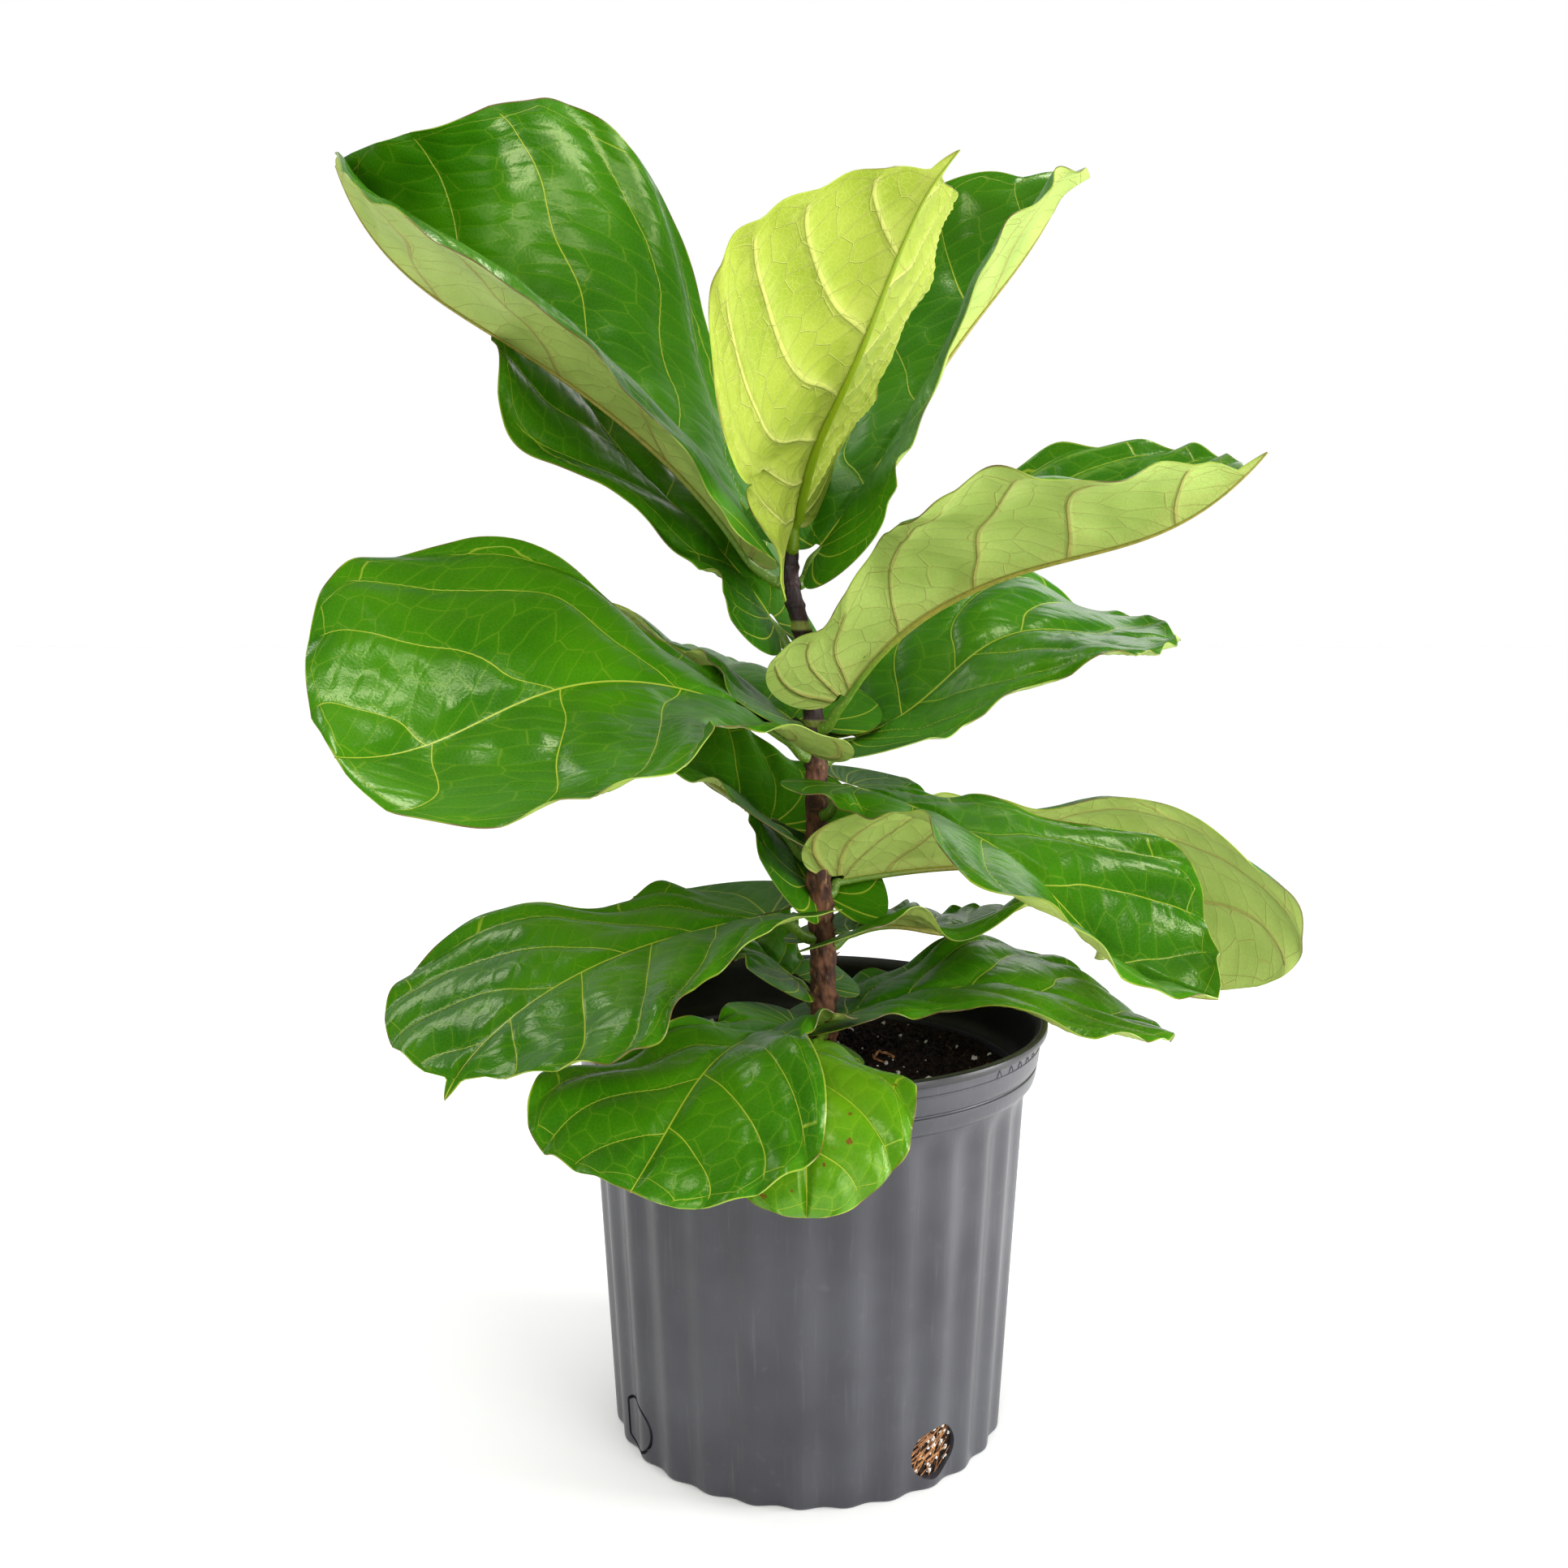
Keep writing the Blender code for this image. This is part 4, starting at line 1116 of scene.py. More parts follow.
# The leaves from the top of the plant downwards
LEAVES = {
    "leaf_01": Leaf(
        height=488, heading=167, turn=8, stalk=25, stalk_rise=32,
        rise=(55, 37, 34, 72), roll=(0, -8, -30), curl=(-42, -30),
        left_fold=(31, 54), right_fold=(8, 108),
        length=331, half_width=141, widest=0.50, waist=0.77, lobes=(21, 21),
        wave=(0.0, 2.5), wave_start=(0.89, 0.77),
        pairs=4.2, vein_shift=(-0.1, 0.1), crumple=1.7),
    "leaf_02": Leaf(
        height=448, heading=154, turn=-7, stalk=30, stalk_rise=59,
        rise=(54, 39, 48, 26), roll=(0, -6, 10), curl=(-37, -28),
        left_fold=(6, 15), right_fold=(13, 22),
        length=243, half_width=73, widest=0.68, waist=0.43, lobes=(27, 37),
        wave=(6.5, 10.5), wave_start=(0.12, 0.55),
        pairs=4.6, vein_shift=(0.2, 0.0), taper=0.7),
    "leaf_03": Leaf(
        height=507, heading=-79, turn=26, stalk=21, stalk_rise=93,
        rise=(45, 27, 48, 44), roll=(48, 8, -32), curl=(31, -33),
        left_fold=(0, 50), right_fold=(-17, 16),
        length=242, half_width=86, widest=0.63, waist=0.62, lobes=(24, 10),
        wave=(3.5, 11.0), wave_start=(0.17, 0.61),
        pairs=6.1, vein_shift=(-0.45, 0.1), rib=2.8, taper=0.9, point=13, hook=25, look=Look.YOUNG),
    "leaf_04": Leaf(
        height=487, heading=39, turn=-7, stalk=29, stalk_rise=68,
        rise=(45, 51, 46, 62), roll=(5, -3, 30), curl=(-3, -14),
        left_fold=(28, 28), right_fold=(17, 63),
        length=303, half_width=82, widest=0.66, waist=0.52, lobes=(12, 38),
        wave=(8.0, 3.0), wave_start=(0.0, 0.9),
        pairs=4.6, vein_shift=(0.1, -0.1), open_tip=0.5, taper=0.85),
    "leaf_05": Leaf(
        height=406, heading=-43, turn=-3, stalk=27, stalk_rise=56,
        rise=(52, 22, 13, 47), roll=(21, 17, 0), curl=(-17, -41),
        left_fold=(47, 35), right_fold=(75, 42),
        length=282, half_width=86, widest=0.50, waist=0.43, lobes=(18, 21),
        wave=(0.0, 8.0), wave_start=(0.42, 0.54),
        pairs=5.0, vein_shift=(0.0, -0.15), point=14, hook=3),
    "leaf_06": Leaf(
        height=387, heading=32, turn=-37, stalk=26, stalk_rise=46,
        rise=(12, 38, -6, -3), roll=(-6, 13, 1), curl=(-9, 13),
        left_fold=(25, 11), right_fold=(-6, -1),
        length=227, half_width=92, widest=0.68, waist=0.67, lobes=(26, 38),
        wave=(7.0, 4.0), wave_start=(0.61, 0.61),
        pairs=4.8, vein_shift=(0.1, -0.2)),
    "leaf_07": Leaf(
        height=390, heading=-149, turn=24, stalk=23, stalk_rise=49,
        rise=(34, 6, -19, 10), roll=(6, -26, -33), curl=(55, -7),
        left_fold=(-18, -5), right_fold=(25, 13),
        length=278, half_width=119, widest=0.50, waist=0.43, lobes=(19, 39),
        wave=(4.5, 6.5), wave_start=(0.2, 0.3),
        pairs=3.8, vein_shift=(-0.12, -0.16)),
    "leaf_08": Leaf(
        height=400, heading=130, turn=2, stalk=19, stalk_rise=43,
        rise=(22, 13, 4, -5), roll=(-5, 15, -1), curl=(-17, -22),
        left_fold=(31, 12), right_fold=(20, 12),
        length=228, half_width=75, widest=0.66, waist=0.58, lobes=(39, 38),
        wave=(6.0, 2.0), wave_start=(0.89, 0.59)),
    "leaf_09": Leaf(
        height=331, heading=152, turn=-1, stalk=33, stalk_rise=52,
        rise=(29, 24, 10, -10), roll=(-3, -8, 2), curl=(-18, -15),
        left_fold=(29, 29), right_fold=(30, 15),
        length=220, half_width=82, widest=0.66, waist=0.57, lobes=(40, 38),
        wave=(6.0, 6.0), wave_start=(0.16, 0.5)),
    "leaf_10": Leaf(
        height=309, heading=121, turn=-5, stalk=13, stalk_rise=46,
        rise=(38, 21, 5, -12), roll=(4, 12, -5), curl=(-15, -20),
        left_fold=(31, 17), right_fold=(21, 16),
        length=179, half_width=71, widest=0.66, waist=0.52, lobes=(43, 44),
        wave=(4.5, 5.5), wave_start=(0.81, 0.49)),
    "leaf_11": Leaf(
        height=357, heading=-51, turn=15, stalk=37, stalk_rise=66,
        rise=(-5, -15, -37, 8), roll=(-6, -9, -4), curl=(13, 0),
        left_fold=(4, 35), right_fold=(-6, 19),
        length=245, half_width=72, widest=0.56, waist=0.43, lobes=(57, 33),
        wave=(6.0, 6.0), wave_start=(0.51, 0.34),
        pairs=4.8, vein_shift=(0.1, -0.1)),
    "leaf_12": Leaf(
        height=310, heading=25, turn=-45, stalk=13, stalk_rise=74,
        rise=(5, -4, -24, -83), roll=(11, -7, -37), curl=(-22, -44),
        left_fold=(35, 6), right_fold=(71, 34),
        length=268, half_width=99, widest=0.80, waist=0.59, lobes=(10, 34),
        wave=(19.5, 4.5), wave_start=(0.65, 0.77)),
    "leaf_13": Leaf(
        height=280, heading=15, turn=25, stalk=15, stalk_rise=45,
        rise=(17, -16, 15, 7), roll=(-2, 6, -15), curl=(-19, -17),
        left_fold=(8, 1), right_fold=(19, 39),
        length=127, half_width=68, widest=0.65, waist=0.54, lobes=(37, 40),
        wave=(5.0, 8.0), wave_start=(0.95, 0.82)),
    "leaf_14": Leaf(
        height=233, heading=9, turn=-4, stalk=12, stalk_rise=42,
        rise=(17, 4, -24, -10), roll=(-10, 9, 2), curl=(-25, -14),
        left_fold=(17, 10), right_fold=(8, 19),
        length=196, half_width=79, widest=0.67, waist=0.65, lobes=(35, 35),
        wave=(5.5, 3.0), wave_start=(0.22, 0.21)),
    "leaf_15": Leaf(
        height=285, heading=-146, turn=24, stalk=42, stalk_rise=46,
        rise=(-2, -8, -21, -39), roll=(10, -2, 10), curl=(10, 0),
        left_fold=(-1, -8), right_fold=(14, 6),
        length=220, half_width=89, widest=0.66, waist=0.68, lobes=(19, 59),
        wave=(4.0, 5.0), wave_start=(0.87, 0.98),
        pairs=4.9, vein_shift=(0.2, -0.18), point=12, hook=13),
    "leaf_16": Leaf(
        height=236, heading=-114, turn=7, stalk=44, stalk_rise=12,
        rise=(11, 2, -20, -14), roll=(-3, 6, -10), curl=(-15, -1),
        left_fold=(20, -3), right_fold=(10, 4),
        length=200, half_width=72, widest=0.69, waist=0.43, lobes=(16, 42),
        wave=(7.0, 7.0), wave_start=(0.0, 0.39),
        pairs=5.0, vein_shift=(0.05, -0.05)),
    "leaf_17": Leaf(
        height=229, heading=-96, turn=10, stalk=42, stalk_rise=13,
        rise=(13, 11, -36, -98), roll=(-7, 2, 3), curl=(-20, -10),
        left_fold=(-14, 5), right_fold=(-9, -1),
        length=182, half_width=54, widest=0.63, waist=0.25, lobes=(35, 40),
        wave=(3.5, 3.0), wave_start=(0.55, 0.66),
        pairs=4.8, vein_shift=(0.0, 0.2),
        scars=((134, 21, 1.5), (147, 20, 1.7), (157, 8, 1.2), (168, -7, 1.1), (171, -20, 1.6),
               (150, 12, 0.8), (112, 44, 1.3), (140, 30, 0.7), (163, -14, 0.8)),
        look=Look.OLD),
    "leaf_18": Leaf(
        height=243, heading=129, turn=-1, stalk=28, stalk_rise=43,
        rise=(16, 21, 5, -10), roll=(5, 5, 0), curl=(-18, -23),
        left_fold=(18, 14), right_fold=(12, 16),
        length=117, half_width=56, widest=0.66, waist=0.52, lobes=(40, 37),
        wave=(6.5, 11.0), wave_start=(0.16, 0.34)),
}


@dataclass
class Stem:
    """The woody stem with its node rings, dry bud scales and pointed end bud.

    Each scale is given by its height, its heading in degrees, and its length and width in millimetres.
    """

    foot_z: float = 0.190
    tip_z: float = 0.522
    bud_z: tuple = (0.503, 0.509, 0.515, 0.5205, 0.522)
    bud_width: tuple = (1.0, 0.86, 0.56, 0.2, 0.03)
    rings: int = 300
    sides: int = 56
    bark_depth: float = 0.00070
    grain_depth: float = 0.00016
    node_swell: float = 0.0009
    node_reach: float = 0.0017
    stout: float = 1.14
    node_z: tuple = (0.228, 0.238, 0.252, 0.270, 0.297, 0.305, 0.329, 0.345, 0.356, 0.371, 0.385, 0.399,
                     0.411, 0.433, 0.447, 0.462, 0.476, 0.488, 0.497)
    scale_rows: int = 9
    scale_columns: int = 7
    scale_half_thickness: float = 0.0002
    scale_spots: tuple = ((0.336, -10, 9, 6), (0.334, 188, 10, 8), (0.286, -25, 8, 6), (0.2705, 12, 7, 5),
                          (0.366, 200, 8, 6), (0.352, 60, 8, 6), (0.305, 120, 9, 6), (0.249, 150, 8, 6),
                          (0.392, 95, 8, 6), (0.424, 190, 8, 5), (0.451, 20, 8, 5))

    def surface(self) -> tuple:
        """Circles on the leaning centre line, swollen at the nodes and roughened by ridged bark.

        Returns:
            Points and a list of face arrays.
        """
        z = np.linspace(self.foot_z, self.tip_z, self.rings)[:, None]
        turn = turns(self.sides)
        nodes = sum(np.exp(-((z - node) / self.node_reach)**2) for node in self.node_z)
        place = polar(0.006, turn, z * 0.6)
        old = smooth((0.43 - z) / 0.10)
        bark = swell(place, 0.0048, 11, 14) * old * self.bark_depth
        bark = bark + swell(place, 0.002, 12, 14) * self.grain_depth
        radius = stem_radius(z) * self.stout + self.node_swell * nodes + bark
        rings = polar(radius * np.interp(z, self.bud_z, self.bud_width), turn, z)
        rings[..., 0] += stem_x(z)
        return capped(rings, (stem_x(self.foot_z), 0.0, self.foot_z), (stem_x(self.tip_z), 0.0, self.tip_z))

    def scales(self, body: Body) -> None:
        """Dry bud scales: narrow pointed flakes, thin at the rim, that stand off the bark.

        The last row of a flake's grid is one point, so its walls pass by the corners of that row.

        Args:
            body: The mesh they are added to.
        """
        u = np.linspace(0.0, 1.0, self.scale_rows)[:, None]
        v = np.linspace(-1.0, 1.0, self.scale_columns)[None, :]
        numbers = np.arange(u.size * v.size).reshape(u.size, v.size)
        edge = np.concatenate([numbers[0], numbers[1:-1, -1], numbers[-1, -2::-1], numbers[-3:0:-1, 0]])
        after = np.roll(edge, -1)
        wall = np.stack([edge, after, after + numbers.size, edge + numbers.size], -1)
        faces = grid_faces(u.size, v.size)
        for z, heading, length, width in self.scale_spots:
            angle = np.radians(heading)
            out = direction(0.0, angle)
            foot = np.array([stem_x(z), 0.0, z]) + out * (stem_radius(z) * self.stout - 0.0006)
            half = width * MM / 2.0 * (1.0 - u)**0.8
            lean = length * MM * (0.42 * u**1.6 + 0.10 * u) - half * 0.5 * v**2
            grid = (foot + out * lean[..., None] + leftward(angle) * (half * v)[..., None]
                    + UP * (length * MM * u * (1.0 - 0.25 * u))[..., None])
            lift = Blade.normals(grid) * self.scale_half_thickness
            both = np.concatenate([(grid + lift).reshape(-1, 3), (grid - lift).reshape(-1, 3)])
            body.add(both, [faces, faces[:, ::-1] + numbers.size, wall], 1)

    @staticmethod
    def bark() -> bpy.types.Material:
        """Purplish brown bark with tan rings and pale pores, dark and smooth near the top."""
        g = Graph.skin("stem_bark")
        spot = g.place()
        _, y, z = g.split(spot)
        grain = g.noise(g.scaled(spot, (1.0, 1.0, 0.45)), 330.0, 4.0)
        patch = g.noise(g.scaled(spot, (1.0, 1.0, 0.7)), 120.0)
        old = g.mix(g.rise(patch, 0.35, 0.65), (0.050, 0.018, 0.011), (0.165, 0.064, 0.031))
        old = g.mix(g.rise(grain, 0.56, 0.72, 0.0, 0.8), old, (0.30, 0.155, 0.07))
        ring = g.noise(g.combine(0.0, g.times(y, 20.0), g.times(z, 160.0)), 1.0, 2.0)
        old = g.mix(g.rise(ring, 0.60, 0.70, 0.0, 0.65), old, (0.22, 0.085, 0.03))
        young = g.mix(g.rise(patch, 0.4, 0.7), (0.022, 0.009, 0.012), (0.06, 0.022, 0.024))
        fresh = g.mix(g.rise(patch, 0.3, 0.7), (0.16, 0.20, 0.02), (0.24, 0.26, 0.03))
        upper = g.rise(g.absolute(g.plus(z, -0.4645)), 0.0016, 0.0034, 1.0, 0.0)
        lower = g.rise(g.absolute(g.plus(z, -0.4095)), 0.0010, 0.0028, 0.8, 0.0)
        colour = g.mix(g.rise(z, 0.37, 0.44), old, young)
        colour = g.mix(g.math("MAXIMUM", upper, lower), colour, fresh)
        colour = g.mix(g.rise(z, 0.503, 0.512), colour, (0.10, 0.13, 0.02))
        rough = g.rise(z, 0.36, 0.45, 0.85, 0.5)
        return g.finish(colour, rough, g.total((grain, 0.7), (patch, 0.3)), 0.0020, 1.0)

    @staticmethod
    def scale_skin() -> bpy.types.Material:
        """Dry red-brown bud scales."""
        g = Graph.skin("bud_scale")
        patch = g.noise(g.place(), 260.0)
        colour = g.mix(g.rise(patch, 0.35, 0.65), (0.045, 0.014, 0.010), (0.15, 0.045, 0.028))
        return g.finish(colour, 0.6, patch, 0.0005, 0.6)

    def build(self) -> list[bpy.types.Object]:
        """Make the stem, which stands for its CAD node."""
        body = Body.of(*self.surface())
        self.scales(body)
        return dress([body.make("fig_stem", [self.bark(), self.scale_skin()], 50.0)], "stem")


@dataclass(frozen=True)
class PlasticFinish:
    """Satin black moulded plastic with faint upright rubs, and painted shade darkening the inside wall above
    the mix.
    """

    dark: Colour = (0.026, 0.026, 0.033)
    pale: Colour = (0.046, 0.047, 0.056)
    # Painted shade: the near-black colour given to the inside wall above the mix, where the wall lies in
    # shadow
    inside: Colour = (0.004, 0.004, 0.0045)
    lip: Colour = (0.010, 0.010, 0.012)
    rubbed: Colour = (0.10, 0.10, 0.107)
    dusty: Colour = (0.085, 0.085, 0.09)
    rough: float = 0.34
    rub: float = 0.10

    def make(self) -> bpy.types.Material:
        """Mix slow cloudy tone with thin upright rub lines and a fine mould grain.

        The painted shade on the inside wall is placed by the distance from the axis less a share of the
        height, as its wall leans.
        """
        g = Graph.skin("pot_plastic")
        spot = g.place()
        cloud = g.noise(spot, 14.0)
        rub = g.noise(g.scaled(spot, (1.0, 1.0, 0.035)), 420.0)
        across = g.noise(g.scaled(spot, (0.06, 0.06, 1.0)), 900.0, 2.0)
        colour = g.mix(g.rise(cloud, 0.3, 0.7), self.dark, self.pale)
        colour = g.mix(g.rise(rub, 0.55, 0.85, 0.0, 0.35), colour, self.rubbed)
        colour = g.mix(g.rise(g.noise(spot, 130.0, 5.0), 0.60, 0.80, 0.0, 0.30), colour, self.dusty)
        x, y, z = g.split(spot)
        radius = g.math("SQRT", g.line(x, x, g.times(y, y)))
        lean = g.line(z, -0.188, radius)
        # Painted shade: the inside wall above the mix takes the near-black inside colour
        within = g.times(g.rise(lean, 0.0878, 0.0886, 1.0, 0.0), g.rise(z, 0.2070, 0.2080))
        colour = g.mix(within, colour, self.inside)
        colour = g.mix(g.rise(z, 0.2352, 0.2364), colour, self.lip)
        rough = g.plus(g.total((rub, self.rub), (cloud, 0.10), (within, 0.35)), self.rough - 0.1)
        height = g.total((rub, 0.5), (across, 0.3), (cloud, 0.2))
        return g.finish(colour, rough, height, 0.0004, 0.40)


@dataclass
class Pot:
    """The fluted nursery pot: body, collar, rolled rim, drain hole and three closed knock-outs."""

    finish: PlasticFinish = PlasticFinish()
    height: float = 0.241
    rim: float = 0.1375
    body_top_z: float = 0.205
    body_top: float = 0.1254
    base: float = 0.1142
    wall_rings: int = 34
    flutes: int = 28
    flute_depth: float = 0.0026
    samples: int = 16
    ridge_heading: float = -93.0
    sharp: float = 32.0
    drain_reach: tuple = (0.100, 0.125)
    knock_headings: tuple = (-148.5, 36.5, 126.5)
    knock_reach: tuple = (0.1108, 0.125)
    knock_z: float = 0.0182
    slit: float = 0.0018
    straight: float = 0.72
    cut_sides: int = 64
    mark_headings: tuple = (-42.0, -37.0, -32.5, -28.0, -23.5)
    mark_top: float = 0.2345
    mark_drop: float = 0.0042
    mark_spread: float = 1.05
    mark_radius: float = 0.00028

    def profile(self) -> tuple[np.ndarray, np.ndarray]:
        """The pot's section from the middle of the underside, up outside, over the rim, down inside.

        Returns:
            Radius and height of each point, and how much of the flute's hollow it has.
        """
        wall = np.linspace(0.0026, self.body_top_z, self.wall_rings)
        slope = self.base + (self.body_top - self.base) * wall / self.body_top_z
        floor, inner_top_z = POT_INSIDE_Z
        inner_base, inner_top = POT_INSIDE_RADII
        foot = [(0.060, 0.0), (self.base - 0.0017, 0.0), (self.base - 0.0008, 0.0003),
                (self.base - 0.0002, 0.0010)]
        collar = [(0.1256, 0.2064), (0.1262, 0.2070), (0.1275, 0.2074), (0.1292, 0.2082), (0.1303, 0.2096),
                  (0.1310, 0.2116), (0.1315, 0.2150), (0.1318, 0.2168), (0.1317, 0.2177), (0.1311, 0.2183),
                  (0.1310, 0.2189), (0.1314, 0.2195), (0.1321, 0.2199), (0.1325, 0.2206), (0.1329, 0.2240),
                  (0.1332, 0.2282), (0.1333, 0.2291), (0.13375, 0.2296), (0.13375, 0.2302),
                  (0.1334, 0.2306), (0.1336, 0.2335), (0.1338, 0.2349)]
        rolled = [(0.1343, 0.2357), (0.1354, 0.2360), (0.1366, 0.2361), (0.1373, 0.2366), (self.rim, 0.2374),
                  (self.rim, 0.2389), (0.1372, 0.2401), (0.1363, 0.2408), (0.1352, self.height),
                  (0.1342, 0.2408), (0.1333, 0.2400), (0.1320, 0.2390), (0.1308, 0.2372)]
        within = [(0.1301, 0.2340), (0.1295, 0.2262), (0.1286, 0.2200), (0.1278, 0.2150), (0.1268, 0.2120),
                  (0.1248, 0.2098), (0.1232, 0.2085), (0.1222, 0.2065), (inner_top, inner_top_z),
                  (0.1190, 0.160), (inner_base, 0.006), (inner_base - 0.002, floor), (0.050, floor)]
        points = np.array([*foot, *zip(slope, wall), *collar, *rolled, *within])
        share = smooth((0.2068 - points[:, 1]) / 0.012)
        inside = np.arange(len(points)) > int(np.argmax(points[:, 1]))
        return points, np.where(inside | (points[:, 0] < 0.1), 0.0, share)

    def surface(self) -> tuple:
        """The section turned round the axis; the body's radius rises and dips in rounded upright waves."""
        points, share = self.profile()
        count = self.flutes * self.samples
        angles = np.radians(self.ridge_heading) + turns(count)
        part = (np.arange(count) % self.samples) / self.samples
        hollow = self.flute_depth * (1.0 - np.cos(2.0 * np.pi * part)) / 2.0
        radius = points[:, :1] - share[:, None] * hollow[None]
        return capped(polar(radius, angles, points[:, 1:]), (0.0, 0.0, 0.0), (0.0, 0.0, POT_INSIDE_Z[0]))

    def bore(self, name: str, heading: float, z: float, radii: tuple, reach: tuple) -> bpy.types.Object:
        """A cutter along a heading: a round plug, or a ring with one straight side if given two radii.

        Args:
            name: The cutter's name.
            heading: Where it points, in degrees.
            z: Height of its axis.
            radii: Its radius, or the outer and the inner radius of a ring.
            reach: Distances of its two ends from the pot's axis.

        Returns:
            The cutter's object.
        """
        angle = np.radians(heading)
        out, side = direction(0.0, angle), leftward(angle)
        centre = z * UP
        if len(radii) == 1:
            path = centre + out * np.array(reach)[:, None]
            sides, ups = (np.repeat(way[None], 2, 0) for way in (side, UP))
            return Body.of(*tube(path, np.full(2, radii[0]), self.cut_sides, sides, ups)).make(name, [], 30.0)
        turn = turns(self.cut_sides)[:, None]
        level = (1.0 - self.straight) * DRAIN_RADIUS
        corners = [(radii[0], reach[0]), (radii[0], reach[1]), (radii[1], reach[1]), (radii[1], reach[0])]
        rings = [centre + out * r + np.maximum(np.cos(turn) * size, level - size) * side
                 + np.sin(turn) * UP * size for size, r in corners]
        faces = grid_faces(5, self.cut_sides, loop=True) % (4 * self.cut_sides)
        return Body.of(np.concatenate(rings), [faces[:, ::-1]]).make(name, [], 30.0)

    def cut(self, piece: bpy.types.Object, cutters: Sequence[bpy.types.Object]) -> None:
        """Take the cutters out of the pot and remove them.

        Args:
            piece: The pot.
            cutters: Closed bodies.
        """
        for cutter in cutters:
            step = piece.modifiers.new("cut", "BOOLEAN")
            step.object = cutter
            step.operation = "DIFFERENCE"
            step.solver = "EXACT"
        graph = bpy.context.evaluated_depsgraph_get()
        mesh = bpy.data.meshes.new_from_object(piece.evaluated_get(graph))
        piece.modifiers.clear()
        piece.data = mesh
        mesh.shade_smooth()
        mesh.set_sharp_from_angle(angle=np.radians(self.sharp))
        for cutter in cutters:
            bpy.data.objects.remove(cutter, do_unlink=True)

    def marks(self) -> Body:
        """A short row of raised strokes on the collar band, each pair like a small roof."""
        body = Body()
        t = np.linspace(0.0, 1.0, 5)
        z = self.mark_top - self.mark_drop * t
        radius = np.interp(z, (0.2306, 0.2349), (0.1334, 0.1338)) + 0.00005
        for heading in self.mark_headings:
            for lean in (-1.0, 1.0):
                angle = np.radians(heading + lean * self.mark_spread * t)
                body.add(*strand(polar(radius, angle, z), np.full(5, self.mark_radius)))
        return body

    def build(self) -> list[bpy.types.Object]:
        """Make the pot and its raised marks, which stand for the CAD node."""
        material = self.finish.make()
        pot = Body.of(*self.surface()).make("nursery_pot", [material], self.sharp)
        cutters = [self.bore("drain", DRAIN_HEADING, DRAIN_Z, (DRAIN_RADIUS,), self.drain_reach)]
        ring = (DRAIN_RADIUS + self.slit / 2, DRAIN_RADIUS - self.slit / 2)
        cutters += [self.bore(f"knock_{number}", heading, self.knock_z, ring, self.knock_reach)
                    for number, heading in enumerate(self.knock_headings)]
        self.cut(pot, cutters)
        return dress([pot, self.marks().make("collar_marks", [material])], "pot")


@dataclass(frozen=True)
class Crumbs:
    """One kind of loose crumb: how many, how large, how deep they sit and how rough each is.

    The powers are those of ten that give the longest half size in metres, and the fineness is that of
    the ball each crumb is made from.
    """

    count: int
    at_hole: int
    sink: float
    powers: tuple
    fineness: int
    rough: float
    hole_sizes: tuple = (0.0008, 0.0019)


